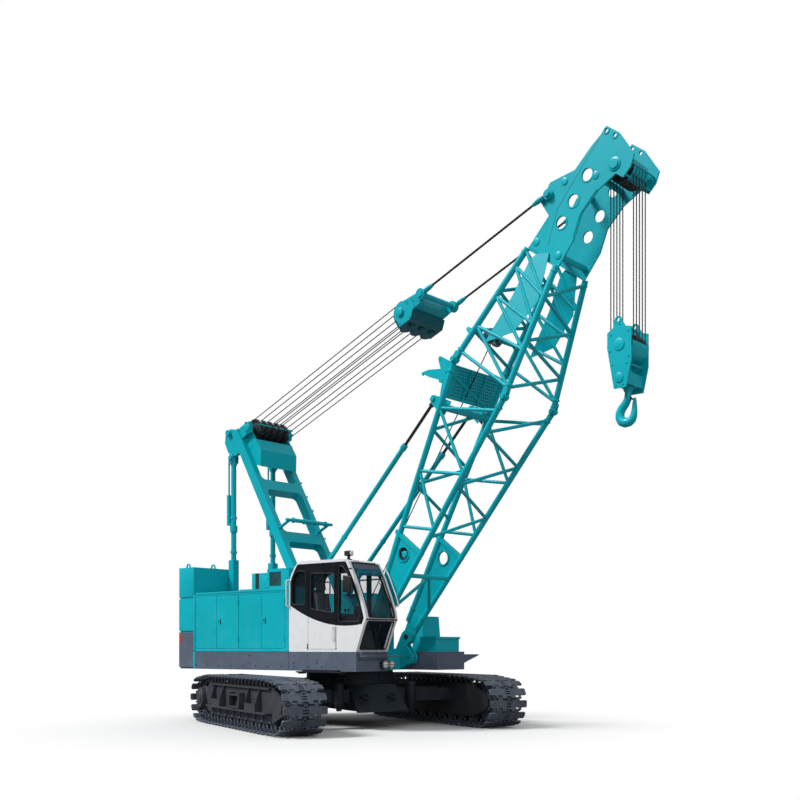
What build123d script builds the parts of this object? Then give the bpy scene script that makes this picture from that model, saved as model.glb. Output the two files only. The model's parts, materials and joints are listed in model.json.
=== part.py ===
from build123d import *
import math
import os

# Crawler crane with a two-piece lattice boom, an A-frame gantry and a hook block.
# Millimetres. +X forward over the boom, +Y to the machine's left, +Z up, the ground at Z = 0.
# Everything is drawn about the slewing axis and moved once, at the end, to the row's origin.

# ------------------------------------------------------------------ driving dimensions
slewing_axis_x = -1397.5      # from the origin, the middle of the whole machine's length
running_fit = 0.05            # radial clearance of a pin or shaft in its bore
seat_gap = 0.3                # between a piece and the seat of another body
flat_gap = 5.0                # round a door leaf in its opening
hinge_inset = 12.0            # hinge axis in from a leaf's edge and its outer face
hinge_pin_radius = 6.0
hinge_pin_reach = 20.0        # from the leaf's end into the frame

track_turn = -20.5            # the tracks stand turned under the upper works, degrees
track_gauge = 3860.0          # between the two track centre lines
track_length = 5400.0
track_height = 960.0
shoe_width = 760.0
shoe_count = 56
shoe_depth = 58.0             # outer face of a shoe down to the gap between two shoes
shoe_spacing = 26.0           # the gap between two shoes
chain_depth = 42.0            # chain under the shoes
track_frame_width = 460.0
track_frame_plate = 30.0
roller_radius = 150.0
roller_count = 9
roller_clear = 40.0           # between a wheel and the next roller
carrier_top = 800.0           # top of the track frame's box
drive_radius = 230.0          # travel gearbox
drive_length = 210.0
drive_pin_radius = 90.0

carbody_top = 880.0
carbody_bottom = 330.0
carbody_half_length = 1000.0  # at the top
carbody_flare = 520.0         # added at the bottom of each sloping end plate
carbody_half_width = 480.0
axle_beam_x = 900.0
axle_beam_width = 380.0
axle_beam_bottom = 480.0
axle_beam_top = 710.0
slew_ring_radius = 820.0
slew_ring_bore = 620.0

deck_bottom = 1051.0
deck_top = 1395.0
deck_front_right = 1590.0
deck_front_left = 1700.0
deck_rear = -2996.0
half_width = 1384.0
bay_half_width = 640.0        # open bay between the two houses
frame_half_width = 600.0      # main frame between the two side decks
frame_front = 900.0
tie_hole = (1106.0, 1277.0)    # hole low in the boom lugs: x, z
tie_hole_radius = 30.0
tie_lobe_radius = 125.0
locker_front = 1575.0
catwalk_rear = -2600.0
catwalk_width = 440.0

house_front = -163.0
house_top = 2551.0
house_wall = 40.0
house_rear_strip = 60.0
house_front_strip = 100.0
door_sill = 60.0
door_handle_depth = 12.0
engine_length = 1500.0
engine_height = 820.0
engine_clear = 52.0           # to the house walls on both sides
intake_length = 597.0
intake_height = 380.0
cleaner_length = 477.0
cleaner_height = 303.0

ballast_front = -2996.0
ballast_rear = -3760.0
ballast_chamfer = 470.0
ballast_levels = (1051.0, 1777.0, 2446.0, 3073.0)
ballast_lug_radius = 30.0
ballast_lug_thickness = 50.0
ballast_lug_x = (-3200.0, -3500.0)
ballast_lug_y = 1000.0
ballast_seam = 30.0           # height and depth of the step along a slab's lower edge
ballast_seam_depth = 18.0

cab_right = -half_width
cab_left = -600.0
cab_pillar = 70.0
cab_wall = 50.0
cab_glass = 8.0
cab_door_rear = 360.0
cab_door_front = 1096.0
cab_door_bottom = 1440.0
cab_door_top = 2930.0

boom_angle = 53.5
foot_pin = (1060.0, 1670.0)   # x, z
foot_half_width = 500.0
foot_eye_thickness = 60.0
foot_eye_radius = 120.0
foot_pin_radius = 55.0
foot_lug_radius = 128.0
lug_thickness = 40.0
chord_diameter = 102.0
brace_diameter = 60.0
base_length = 5030.0          # foot pin to the section joint
head_start = base_length + 2120.0
tip_length = head_start + 1720.0    # foot pin to the head sheaves
head_half_width = 380.0
head_plate = 30.0
head_sheave_radius = 205.0
head_sheave_offset = 160.0    # above the foot-pin line, at right angles to it
sheave_pitch = 89.0
sheave_count = 5
rope_diameter = 22.0
jib_bore_radius = 32.0

gantry_half_width = 510.0
gantry_pin = (-2400.0, 5905.0)
gantry_sheave_radius = 200.0
luffing_sheaves = 5
luffing_pitch = 165.0
gantry_leg_depth = 200.0
gantry_leg_width = 130.0
leg_foot = (-190.0, 1560.0)
leg_top = (-2760.0, 5870.0)
gantry_windows = ((-0.35, 0.451), (0.499, 0.704), (0.752, 1.2))    # shares of the legs' length
gantry_window_radius = 90.0
gantry_head = [(-3080, 5827), (-3100, 5667), (-3001, 5481), (-2883, 5357), (-2708, 5399), (-2515, 5501),
               (-2560, 5700), (-2420, 5771), (-2306, 5806), (-2325, 6029), (-2554, 5960), (-2689, 5900),
               (-2922, 5945)]
backstay_x = -2864.0
backstay_top = 5345.0
backstay_diameter = 105.0
backstop_foot = (-550.0, 2600.0)
backstop_eye_height = 290.0   # over the rear chords
backstop_tube_diameter = 90.0
backstop_rod_diameter = 56.0
backstop_exposed = 1000.0
backstop_pin_radius = 30.0
backstop_eye_radius = 60.0
backstop_lug_radius = 75.0

hook_drop = 2740.0            # head sheave axis down to the block's sheave axis
block_trunnion = 420.0        # block's sheave axis down to the trunnion
hook_bowl_drop = 445.0        # trunnion down to the middle of the bowl
hook_bowl_radius = 126.0
spreader_half_width = 400.0

# ------------------------------------------------------------------ small tools


def block(x0, x1, y0, y1, z0, z1):
    """A box between two corners."""
    size = Box(x1 - x0, y1 - y0, z1 - z0)
    return Pos((x0 + x1) / 2, (y0 + y1) / 2, (z0 + z1) / 2) * size


def side_plate(points, y0, y1):
    """An outline in X and Z, drawn out from y0 to y1."""
    wire = Polyline(*[(x, y0, z) for x, z in points], close=True)
    return extrude(make_face(wire), amount=y1 - y0, dir=(0, 1, 0))


def plan_plate(points, z0, z1):
    """An outline in X and Y, drawn up from z0 to z1."""
    wire = Polyline(*[(x, y, z0) for x, y in points], close=True)
    return extrude(make_face(wire), amount=z1 - z0, dir=(0, 0, 1))


def rod(start, end, diameter):
    """A round bar between two points."""
    a = Vector(*start)
    b = Vector(*end)
    plane = Plane(origin=a, z_dir=b - a)
    return extrude(plane * Circle(diameter / 2), amount=(b - a).length)


def disc(x, z, radius, y0, y1):
    """A round bar across the machine."""
    return rod((x, y0, z), (x, y1, z), 2 * radius)


def mirrored(shape):
    """The same piece on the other side of the machine."""
    return mirror(shape, about=Plane.XZ)


def joined(*shapes):
    """Pieces fused to one solid."""
    return Part() + [solid for shape in shapes for solid in shape.solids()]


def group(shapes):
    """Pieces that share a node and don't touch."""
    return Compound(children=[s for shape in shapes for s in shape.solids()])


def on_boom(along, square):
    """A point of the boom: along it from the foot pin, and square to it, up and back."""
    turn = math.radians(boom_angle)
    x = foot_pin[0] + along * math.cos(turn) - square * math.sin(turn)
    z = foot_pin[1] + along * math.sin(turn) + square * math.cos(turn)
    return x, z


def boom_node(along, square, y):
    """The same point with its place across the boom."""
    x, z = on_boom(along, square)
    return x, y, z


def polar(origin, angle, distance, square=0.0):
    """A point at a distance from an origin along an angle, and square to it."""
    turn = math.radians(angle)
    x = origin[0] + distance * math.cos(turn) - square * math.sin(turn)
    z = origin[1] + distance * math.sin(turn) + square * math.cos(turn)
    return x, z


def angle_between(start, end):
    return math.degrees(math.atan2(end[1] - start[1], end[0] - start[0]))


def lerp(a, b, share):
    return a + (b - a) * share


# ------------------------------------------------------------------ undercarriage
wheel_x = track_length / 2 - track_height / 2
chain_inner = shoe_depth + chain_depth
wheel_radius = track_height / 2 - chain_inner - seat_gap
roller_span = 2 * (wheel_x - wheel_radius - roller_radius - roller_clear)
track_y = track_gauge / 2


def track_pin(distance):
    """A link pin's place on the loop, at a distance round it from the rear of the top run."""
    radius = track_height / 2 - shoe_depth
    straight = 2 * wheel_x
    bend = math.pi * radius
    centre_z = track_height / 2
    if distance < straight:
        return -wheel_x + distance, centre_z + radius
    if distance < straight + bend:
        turn = (distance - straight) / radius
        return wheel_x + radius * math.sin(turn), centre_z + radius * math.cos(turn)
    if distance < 2 * straight + bend:
        return wheel_x - (distance - straight - bend), centre_z - radius
    turn = (distance - 2 * straight - bend) / radius
    return -wheel_x - radius * math.sin(turn), centre_z - radius * math.cos(turn)


def track_outline():
    """The loop's side outline: each shoe is a flat tooth between two link pins."""
    loop_length = 4 * wheel_x + 2 * math.pi * (track_height / 2 - shoe_depth)
    pitch = loop_length / shoe_count
    points = []
    for index in range(shoe_count):
        start = track_pin(index * pitch)
        end = track_pin((index + 1) % shoe_count * pitch)
        link = math.dist(start, end)
        ux, uz = (end[0] - start[0]) / link, (end[1] - start[1]) / link
        edge = shoe_spacing / 2
        for along, out in ((edge, 0.0), (edge, shoe_depth), (link - edge, shoe_depth), (link - edge, 0.0)):
            points.append((start[0] + along * ux - out * uz, start[1] + along * uz + out * ux))
    return points


def track_loop():
    """One closed loop of chain with its shoes."""
    loop = side_plate(track_outline(), -shoe_width / 2, shoe_width / 2)
    inner = track_height / 2 - chain_inner
    hollow = SlotCenterToCenter(2 * wheel_x, 2 * inner)
    hollow = extrude(Plane.XZ * hollow, amount=shoe_width, both=True)
    return loop - Pos(0, 0, track_height / 2) * hollow


def track_frame():
    """Box beam with side plates that hold the wheels and the rollers."""
    half = track_frame_width / 2
    length = roller_span / 2 + 2 * roller_radius / 3
    box = block(-length, length, -half, half, carrier_top - 330, carrier_top)
    skirt_low = roller_radius + chain_inner - 60
    plates = []
    for y0 in (-half, half - track_frame_plate):
        y1 = y0 + track_frame_plate
        plates.append(block(-length, length, y0, y1, skirt_low, carrier_top - 330))
        outline = [(-wheel_x, 330), (-length, skirt_low), (length, skirt_low), (wheel_x, 330),
                   (wheel_x + 110, 430), (wheel_x + 110, 530), (wheel_x, 630), (length, carrier_top),
                   (-length, carrier_top), (-wheel_x, 630), (-wheel_x - 110, 530),
                   (-wheel_x - 110, 430)]
        plates.append(side_plate(outline, y0, y1))
    pad_top = track_height - chain_inner - seat_gap
    slide = block(-1200, 1200, -90, 90, carrier_top, pad_top)
    return joined(box, *plates, slide)


def wheel(x, teeth):
    """Drive wheel or idler between the frame's plates, with its hub to the plates."""
    half = track_frame_width / 2 - track_frame_plate - seat_gap
    rim = disc(x, track_height / 2, wheel_radius, -150, 150)
    hub = disc(x, track_height / 2, 170, -half, half)
    body = rim + hub
    if teeth:
        ring = disc(x, track_height / 2, wheel_radius - 70, 110, 150)
        cut = disc(x, track_height / 2, 210, 110, 150)
        body = body - (ring - cut) - mirrored(ring - cut)
    return body


def rollers():
    """Lower rollers, each with its flanges and its pin between the plates."""
    half = track_frame_width / 2 - track_frame_plate - seat_gap
    low = chain_inner + seat_gap
    row = []
    for index in range(roller_count):
        x = lerp(-roller_span / 2, roller_span / 2, index / (roller_count - 1))
        roller = disc(x, low + roller_radius, roller_radius, -half + 20, half - 20)
        waist = disc(x, low + roller_radius, roller_radius, -60, 60)
        waist = waist - disc(x, low + roller_radius, roller_radius - 30, -60, 60)
        pin = disc(x, low + roller_radius, 50, -half, half)
        row.append(roller - waist + pin)
    return row


def travel_drive():
    """Gearbox and motor on the inner side of the drive wheel."""
    face = track_frame_width / 2
    case = disc(-wheel_x, track_height / 2, drive_radius, -face - drive_length, -face)
    motor = disc(-wheel_x, track_height / 2, drive_radius * 0.6, -face - 2 * drive_length + 60,
                 -face - drive_length)
    return case + motor


def carbody():
    """Centre body with sloping ends, four axle beam ends and the ring's seat."""
    ends = [(-carbody_half_length - carbody_flare, carbody_bottom),
            (carbody_half_length + carbody_flare, carbody_bottom),
            (carbody_half_length, carbody_top - 90),
            (-carbody_half_length, carbody_top - 90)]
    middle = side_plate(ends, -carbody_half_width, carbody_half_width)
    reach = track_y - track_frame_width / 2
    beams = []
    for x in (-axle_beam_x, axle_beam_x):
        half = axle_beam_width / 2
        beams.append(block(x - half, x + half, -reach, reach, axle_beam_bottom, axle_beam_top))
    seat = extrude(Pos(0, 0, carbody_top - 300) * Circle(slew_ring_radius + 60), amount=300)
    return joined(middle, *beams, seat)


def slew_ring():
    ring = extrude(Pos(0, 0, carbody_top) * Circle(slew_ring_radius), amount=deck_bottom - carbody_top - seat_gap)
    return ring - extrude(Pos(0, 0, carbody_top) * Circle(slew_ring_bore), amount=deck_bottom - carbody_top)


# ------------------------------------------------------------------ upper works


def boom_lug_outline():
    """Front of the main frame's side plates, up to the boom foot pin."""
    x, z = foot_pin
    tie_x, tie_z = tie_hole
    return [(60, deck_top), (x - 260, deck_top + 60), (x - 110, z + 70), (x + 110, z - 70),
            (tie_x - 50, (z + tie_z) / 2 + 60), (tie_x + 117, tie_z + 40), (tie_x + 117, tie_z - 40),
            (tie_x - 117, tie_z - 174), (frame_front, deck_bottom), (60, deck_bottom)]


def main_frame():
    """Centre frame with the lugs for the boom foot, the gantry legs and the backstays."""
    inner = foot_half_width - foot_eye_thickness / 2 - lug_thickness - seat_gap
    outer = foot_half_width + foot_eye_thickness / 2 + seat_gap
    body = block(ballast_front, frame_front, -frame_half_width, frame_half_width,
                 deck_bottom, deck_top)
    pieces = []
    for y0 in (inner, outer, -inner - lug_thickness, -outer - lug_thickness):
        y1 = y0 + lug_thickness
        pieces.append(side_plate(boom_lug_outline(), y0, y1))
        pieces.append(disc(*foot_pin, foot_lug_radius, y0, y1))
        pieces.append(disc(*tie_hole, tie_lobe_radius, y0, y1))
    frame = joined(body, *pieces)
    for y in (-foot_half_width, foot_half_width):
        bore = disc(*foot_pin, foot_pin_radius + running_fit, y - 200, y + 200)
        tie = disc(*tie_hole, tie_hole_radius, y - 200, y + 200)
        frame = frame - bore - tie
    return frame


def side_deck(side):
    """Deck and skirt beside the main frame, under the cab and the houses."""
    front = deck_front_left if side > 0 else deck_front_right
    deck = block(deck_rear, front, frame_half_width, half_width, deck_bottom, deck_top)
    recess = block(deck_rear + 60, front - 60, frame_half_width + 60, half_width - 60,
                   deck_bottom, deck_top - 60)
    deck = deck - recess
    return deck if side > 0 else mirrored(deck)


def house_sections():
    """Door leaves along a house, from the rear: each with the x of its two edges and its hinge."""
    low = deck_rear + house_rear_strip
    leaf = (house_front - house_front_strip - low) / 4
    rows = []
    for index, hinge in enumerate(("rear", "front", "rear", "front")):
        rows.append((low + index * leaf, low + (index + 1) * leaf, hinge))
    return rows


def house_hinge_x(index):
    start, end, hinge = house_sections()[index]
    return start + flat_gap + hinge_inset if hinge == "rear" else end - flat_gap - hinge_inset


def hinge_pins(x, y, low, high, radius):
    """The pins above and below a leaf that stands between two heights."""
    return [rod((x, y, high), (x, y, high + hinge_pin_reach), 2 * radius),
            rod((x, y, low - hinge_pin_reach), (x, y, low), 2 * radius)]


def house_shell(side):
    """One house: roof, walls and the door opening in the outer wall."""
    shell = block(deck_rear, house_front, bay_half_width, half_width, deck_top, house_top)
    room = block(deck_rear + house_wall, house_front - house_wall, bay_half_width + house_wall,
                 half_width - house_wall, deck_top, house_top - house_wall)
    rows = house_sections()
    opening = block(rows[0][0], rows[-1][1], half_width - house_wall, half_width,
                    deck_top + door_sill, house_top - door_sill)
    shell = shell - room - opening
    for index in range(4):
        for socket in hinge_pins(house_hinge_x(index), half_width - hinge_inset, deck_top + door_sill + flat_gap,
                                 house_top - door_sill - flat_gap, hinge_pin_radius + running_fit):
            shell = shell - socket
    return shell if side > 0 else mirrored(shell)


def house_door(index, side):
    """A leaf as thick as the wall, with its flush latch."""
    start, end, hinge = house_sections()[index]
    x0, x1 = start + flat_gap, end - flat_gap
    low, high = deck_top + door_sill + flat_gap, house_top - door_sill - flat_gap
    inner = half_width - house_wall
    bevel = hinge_inset / 2
    if hinge == "rear":
        outline = [(x0, inner), (x1, inner), (x1, half_width), (x0 + bevel, half_width),
                   (x0, half_width - bevel)]
        leaf = plan_plate(outline, low, high)
    else:
        outline = [(x0, inner), (x1, inner), (x1, half_width - bevel), (x1 - bevel, half_width),
                   (x0, half_width)]
        middle = (low + high) / 2
        cup = block(x0 + 45, x0 + 135, half_width - door_handle_depth, half_width, middle - 60, middle + 60)
        leaf = plan_plate(outline, low, high) - cup
    pins = hinge_pins(house_hinge_x(index), half_width - hinge_inset, low, high, hinge_pin_radius)
    leaf = joined(leaf, *pins)
    return leaf if side > 0 else mirrored(leaf)


def ballast_outline(inset):
    """Plan of a counterweight slab with bevelled rear corners, moved inwards at the sides and rear."""
    half = half_width - inset
    rear = ballast_rear + inset
    return [(ballast_front, -half), (ballast_front, half), (rear + ballast_chamfer * 0.6, half),
            (rear, half - ballast_chamfer), (rear, -half + ballast_chamfer),
            (rear + ballast_chamfer * 0.6, -half)]


def ballast(level):
    """One counterweight slab, stepped in along its lower edge."""
    low = ballast_levels[level]
    high = ballast_levels[level + 1]
    slab = joined(plan_plate(ballast_outline(ballast_seam_depth), low, low + ballast_seam),
                  plan_plate(ballast_outline(0), low + ballast_seam, high))
    if level == 2:
        lugs = []
        half = ballast_lug_thickness / 2
        for x in ballast_lug_x:
            for y in (-ballast_lug_y, ballast_lug_y):
                eye = disc(x, high + 50, 50, y - half, y + half)
                base = block(x - 50, x + 50, y - half, y + half, high - 1, high + 50)
                hole = disc(x, high + 50, ballast_lug_radius, y - half, y + half)
                lugs.append(eye + base - hole)
        slab = joined(slab, *lugs)
    return slab


def engine():
    """The engine as one plain block."""
    x = (deck_rear + house_front) / 2
    y = (bay_half_width + half_width) / 2
    width = half_width - bay_half_width - 2 * house_wall - 2 * engine_clear
    return block(x - engine_length / 2, x + engine_length / 2, y - width / 2, y + width / 2,
                 deck_top, deck_top + engine_height)


def roof_boxes():
    """Intake box with its recessed grille, and the air cleaner box with its recessed stripe."""
    split = house_front - intake_length
    intake = block(split, house_front, -half_width, -half_width + 520, house_top, house_top + intake_height)
    grille = block(split + 60, split + 390, -half_width, -half_width + 12, house_top + 60, house_top + 320)
    cleaner = block(split - cleaner_length, split, -half_width + 15, -half_width + 420, house_top,
                    house_top + cleaner_height)
    stripe = block(split - 400, split - 250, -half_width + 15, -half_width + 27, house_top,
                   house_top + cleaner_height)
    return joined(intake - grille, cleaner - stripe)


# ------------------------------------------------------------------ cab
cab_outline = [(-151, deck_top), (-151, 2650), (-95, 2795), (-12, 2920), (70, 3000), (165, 3036),
               (1240, 3020), (1385, 2972), (1545, 2700), (1690, 2390), (1800, 2110), (1830, 1974),
               (1750, 1810), (1579, deck_top)]


def shrunk(points, distance):
    """The outline moved inwards by a wall."""
    wire = Polyline(*[(x, 0, z) for x, z in points], close=True)
    face = make_face(wire)
    inner = offset(face, amount=-distance, kind=Kind.INTERSECTION)
    return inner


def cab_body():
    body = side_plate(cab_outline, cab_right, cab_left)
    face = shrunk(cab_outline, cab_wall)
    room = extrude(Pos(0, cab_right + cab_wall, 0) * face, amount=cab_left - cab_right - 2 * cab_wall,
                   dir=(0, 1, 0))
    return body - room


def cab_cuts():
    """Window and door openings."""
    through = (cab_right - 1, cab_right + cab_wall + 1)
    beyond = (cab_left - cab_wall - 1, cab_left + 1)
    rear = [(-70, 2258), (-70, 2640), (-25, 2775), (85, 2856), (300, 2848), (300, 2233)]
    quarter = [(1165, 1915), (1165, 2896), (1262, 2896), (1431, 2690), (1590, 2379), (1690, 2139), (1700, 1915)]
    left_rear = [(-70, 2150), (-70, 2640), (-25, 2775), (85, 2856), (1100, 2850), (1100, 2020)]
    shield = [(1300, 2925), (1420, 3060), (1900, 2300), (1900, 1990), (1700, 1990), (1560, 2400)]
    lower = [(1700, 1925), (1900, 1925), (1700, 1440), (1500, 1440)]
    sides = [(rear, through), (quarter, through), (left_rear, beyond), (quarter, beyond)]
    front = (cab_right + cab_pillar, cab_left - cab_pillar)
    cuts = [side_plate(door_outline(), *through)]
    cuts += [side_plate(outline, *span) for outline, span in sides + [(shield, front), (lower, front)]]
    cuts.append(block(-160, -90, cab_right + 120, cab_left - 120, 2050, 2600))
    return cuts


def door_outline():
    return [(cab_door_rear, cab_door_bottom), (cab_door_rear, cab_door_top),
            (cab_door_front, cab_door_top), (cab_door_front, cab_door_bottom)]


def door_window():
    return [(440, 2160), (440, 2800), (1050, 2775), (1050, 2078)]


def cab_hinge_pins(radius):
    return hinge_pins(cab_door_rear + flat_gap + hinge_inset, cab_right + hinge_inset,
                      cab_door_bottom + flat_gap, cab_door_top - flat_gap, radius)


def cab_shell():
    shell = cab_body()
    for cut in cab_cuts():
        shell = shell - cut
    for socket in cab_hinge_pins(hinge_pin_radius + running_fit):
        shell = shell - socket
    return shell


def cab_panes():
    """Fixed glass, each pane in the middle of its wall."""
    mid = cab_wall / 2
    near, far = mid - cab_glass / 2, mid + cab_glass / 2
    width = cab_left - cab_right
    outer = extrude(Pos(0, cab_right + near, 0) * shrunk(cab_outline, near), amount=width - 2 * near, dir=(0, 1, 0))
    inner = extrude(Pos(0, cab_right + far, 0) * shrunk(cab_outline, far), amount=width - 2 * far, dir=(0, 1, 0))
    sheet = outer - inner
    panes = []
    for cut in cab_cuts()[1:]:
        panes += (sheet & cut).solids()
    return group(panes)


def cab_door():
    gap = flat_gap
    outline = [(cab_door_rear + gap, cab_door_bottom + gap), (cab_door_rear + gap, cab_door_top - gap),
               (cab_door_front - gap, cab_door_top - gap), (cab_door_front - gap, cab_door_bottom + gap)]
    leaf = side_plate(outline, cab_right, cab_right + cab_wall)
    edge = cab_door_rear + gap
    bevel = hinge_inset / 2
    corner = plan_plate([(edge, cab_right), (edge + bevel, cab_right), (edge, cab_right + bevel)],
                        cab_door_bottom, cab_door_top)
    leaf = leaf - corner
    window = side_plate(door_window(), cab_right - 1, cab_right + cab_wall + 1)
    handle = rod((cab_door_front - 60, cab_right - 30, 1600), (cab_door_front - 60, cab_right - 30, 1840), 22)
    posts = [rod((cab_door_front - 60, cab_right - 30, z), (cab_door_front - 60, cab_right, z), 18)
             for z in (1610, 1830)]
    return joined(leaf - window, handle, *posts, *cab_hinge_pins(hinge_pin_radius))


def cab_door_pane():
    mid = cab_right + cab_wall / 2
    return side_plate(door_window(), mid - cab_glass / 2, mid + cab_glass / 2)


def cab_seat():
    """Seat base, cushion, back and headrest."""
    middle = (cab_right + cab_left) / 2
    floor = deck_top + cab_wall
    base = block(400, 760, middle - 150, middle + 150, floor, floor + 330)
    cushion = block(330, 830, middle - 200, middle + 200, floor + 330, floor + 450)
    back = side_plate([(330, floor + 450), (230, floor + 1050), (340, floor + 1050), (450, floor + 450)],
                      middle - 195, middle + 195)
    head = side_plate([(225, floor + 1050), (200, floor + 1250), (290, floor + 1250), (335, floor + 1050)],
                      middle - 130, middle + 130)
    return joined(base, cushion, back, head)


def cab_console():
    floor = deck_top + cab_wall
    left_wall = cab_left - cab_wall
    side = block(380, 1180, left_wall - 110, left_wall, floor, floor + 640)
    right = block(420, 1060, cab_right + cab_wall + seat_gap, cab_right + cab_wall + 90, floor, floor + 430)
    stand = side_plate([(1300, floor), (1300, floor + 260), (1420, floor + 330), (1480, floor)],
                       (cab_right + cab_left) / 2 - 160, (cab_right + cab_left) / 2 + 160)
    return group([side, right, stand])


def front_box():
    """Locker with its lid, and the tank with sloping sides behind it, on the left deck."""
    locker = block(locker_front - 400, locker_front, 705, half_width - 10, deck_top, deck_top + 240)
    lid = block(locker_front - 400, locker_front + 20, 695, half_width, deck_top + 240, deck_top + 282)
    plan = Polyline((locker_front - 640, 740, deck_top), (locker_front - 640, 1310, deck_top),
                    (locker_front - 640, 1240, deck_top + 675), (locker_front - 640, 800, deck_top + 675),
                    close=True)
    tank = extrude(make_face(plan), amount=240, dir=(1, 0, 0))
    return joined(locker, lid, tank)


def catwalk():
    """Walkway on the left with its brackets; the front one closes its end."""
    top = deck_top - 53
    low = top - 20
    plank = block(catwalk_rear, deck_front_left, half_width, half_width + catwalk_width, low, top)
    brackets = []
    for x in (catwalk_rear + 200, -1000, 300, deck_front_left - 30):
        web = Polyline((x, half_width, low), (x, half_width + catwalk_width, low),
                       (x, half_width + 60, low - 125), (x, half_width, low - 150), close=True)
        brackets.append(extrude(make_face(web), amount=30, dir=(1, 0, 0)))
    return joined(plank, *brackets)


# ------------------------------------------------------------------ winches


def winch_drums():
    """Three drums in the open bay, each with flanges and two bearing stands."""
    drums = []
    for x, radius, width in ((0.0, 300.0, 640.0), (-1150.0, 300.0, 640.0), (-2050.0, 230.0, 560.0)):
        z = deck_top + radius + 90
        core = disc(x, z, radius * 0.72, -width / 2, width / 2)
        ends = [disc(x, z, radius, y, y + 30) for y in (-width / 2, width / 2 - 30)]
        stands = [side_plate([(x - 170, deck_top), (x - 70, z + 70), (x + 70, z + 70), (x + 170, deck_top)],
                             y, y + 40) for y in (-width / 2 - 40, width / 2)]
        drums.append(joined(core, *ends, *stands))
    return group(drums)


def luffing_planes():
    """The y of each sheave of the luffing gear."""
    return [(index - (luffing_sheaves - 1) / 2) * luffing_pitch for index in range(luffing_sheaves)]


# ------------------------------------------------------------------ gantry


def gantry_angle():
    return angle_between(leg_foot, leg_top)


def leg_point(share, square=0.0):
    """A point along a gantry leg's centre line."""
    length = math.dist(leg_foot, leg_top)
    return polar(leg_foot, gantry_angle(), length * share, square)


def gantry_ladder():
    """Both legs and the cross beams, cut from one slab as windows with rounded corners."""
    length = math.dist(leg_foot, leg_top)
    turn = math.radians(gantry_angle())
    plane = Plane(origin=(leg_foot[0], 0, leg_foot[1]), x_dir=(math.cos(turn), 0, math.sin(turn)),
                  z_dir=(-math.sin(turn), 0, math.cos(turn)))
    outer = 2 * gantry_half_width + gantry_leg_width
    inner = 2 * gantry_half_width - gantry_leg_width
    face = Pos(length / 2, 0) * Rectangle(length, outer)
    for start, end in gantry_windows:
        window = RectangleRounded((end - start) * length, inner, gantry_window_radius)
        face = face - Pos((start + end) / 2 * length, 0) * window
    return extrude(plane * face, amount=gantry_leg_depth / 2, both=True)


def gantry():
    """Ladder of two box legs, head plates, roller bar, backstop brackets and feet on the main frame."""
    y0 = gantry_half_width - gantry_leg_width / 2
    y1 = gantry_half_width + gantry_leg_width / 2
    pieces = [gantry_ladder()]
    foot = [(leg_foot[0] - 220, deck_top), (leg_foot[0] - 150, leg_foot[1] + 100),
            (leg_foot[0] + 90, leg_foot[1] + 60), (leg_foot[0] + 200, deck_top)]
    x, z = leg_point(0.825, -gantry_leg_depth / 2)
    cheek = [(-2328, 5814), (-2065, 5441), (-2075, 5115), (x - 60, z), (-2640, 5650)]
    bracket = [(-220, -150), (-20, -60), (40, -45), (60, 0), (40, 45), (-20, 60), (-320, 180)]
    bracket = [(backstop_foot[0] + dx, backstop_foot[1] + dz) for dx, dz in bracket]
    gap = backstop_tube_diameter / 2 + seat_gap
    arm = leg_point(0.515, -gantry_leg_depth / 2 + 20)
    bar = polar(arm, 25, 330)
    for sign in (-1, 1):
        y = sign * gantry_half_width
        pieces.append(side_plate(foot, *sorted((sign * y0, sign * y1))))
        pieces.append(side_plate(gantry_head, *sorted((sign * (y0 + 25), sign * (y1 - 25)))))
        pieces.append(side_plate(cheek, *sorted((sign * (y0 - 10), sign * (y0 + 20)))))
        pieces.append(rod((arm[0], y, arm[1]), (bar[0], y, bar[1]), 60))
        for side in (-1, 1):
            pieces.append(side_plate(bracket, *sorted((y + side * gap, y + side * gantry_leg_width / 2))))
        pieces.append(disc(*backstop_foot, backstop_pin_radius, y - gantry_leg_width / 2, y + gantry_leg_width / 2))
    front = [(-2190, 5665), (-2065, 5441), (-2075, 5115), (-2095, 5115), (-2085, 5435), (-2207, 5655)]
    pieces.append(side_plate(front, -y0, y0))
    pieces.append(disc(*bar, 30, -y1 - 20, y1 + 20))
    pieces.append(disc(*leg_point(0.88), 45, -y0, y0))
    pieces.append(disc(-2943, 5858, 60, -y1 - 40, y1 + 40))
    pieces.append(disc(-2858, 5796, 35, -y0, y0))
    return joined(*pieces)


def gantry_sheaves():
    """Sheave pack and its pin between the head plates."""
    reach = gantry_half_width - gantry_leg_width / 2 + 25 - seat_gap
    pieces = [disc(*gantry_pin, 50, -reach, reach)]
    for y in luffing_planes():
        pieces.append(disc(*gantry_pin, gantry_sheave_radius - rope_diameter / 2, y - 18, y + 18))
    return joined(*pieces)


def backstays():
    """Rear posts of the gantry with their fittings and the slim rods beside them."""
    y = gantry_half_width
    pieces = [rod((backstay_x, y, deck_top), (backstay_x, y, backstay_top), backstay_diameter)]
    for z, height, diameter in ((deck_top, 120, 170), (3829, 136, 150)):
        pieces.append(rod((backstay_x, y, z), (backstay_x, y, z + height), diameter))
    pieces.append(block(backstay_x - 75, backstay_x + 75, y - 70, y + 70, 2614, 3259))
    slim_x = backstay_x - 150
    pieces.append(rod((slim_x, y, 4560), (slim_x, y, backstay_top), 34))
    pieces.append(block(slim_x - 30, slim_x + 30, y - 35, y + 35, 3978, 4601))
    for z in (4000, backstay_top - 60):
        pieces.append(rod((slim_x, y, z), (backstay_x, y, z), 40))
    side = joined(*pieces)
    return group([side, mirrored(side)])


# ------------------------------------------------------------------ boom
# Stations of the boom: along, front chord, rear chord, half width
stations = {
    "foot": (260.0, -150.0, 215.0, 520.0),
    "joint": (base_length, -345.0, 1070.0, 736.0),
    "head": (head_start, 180.0, 985.0, 475.0),
}
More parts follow.
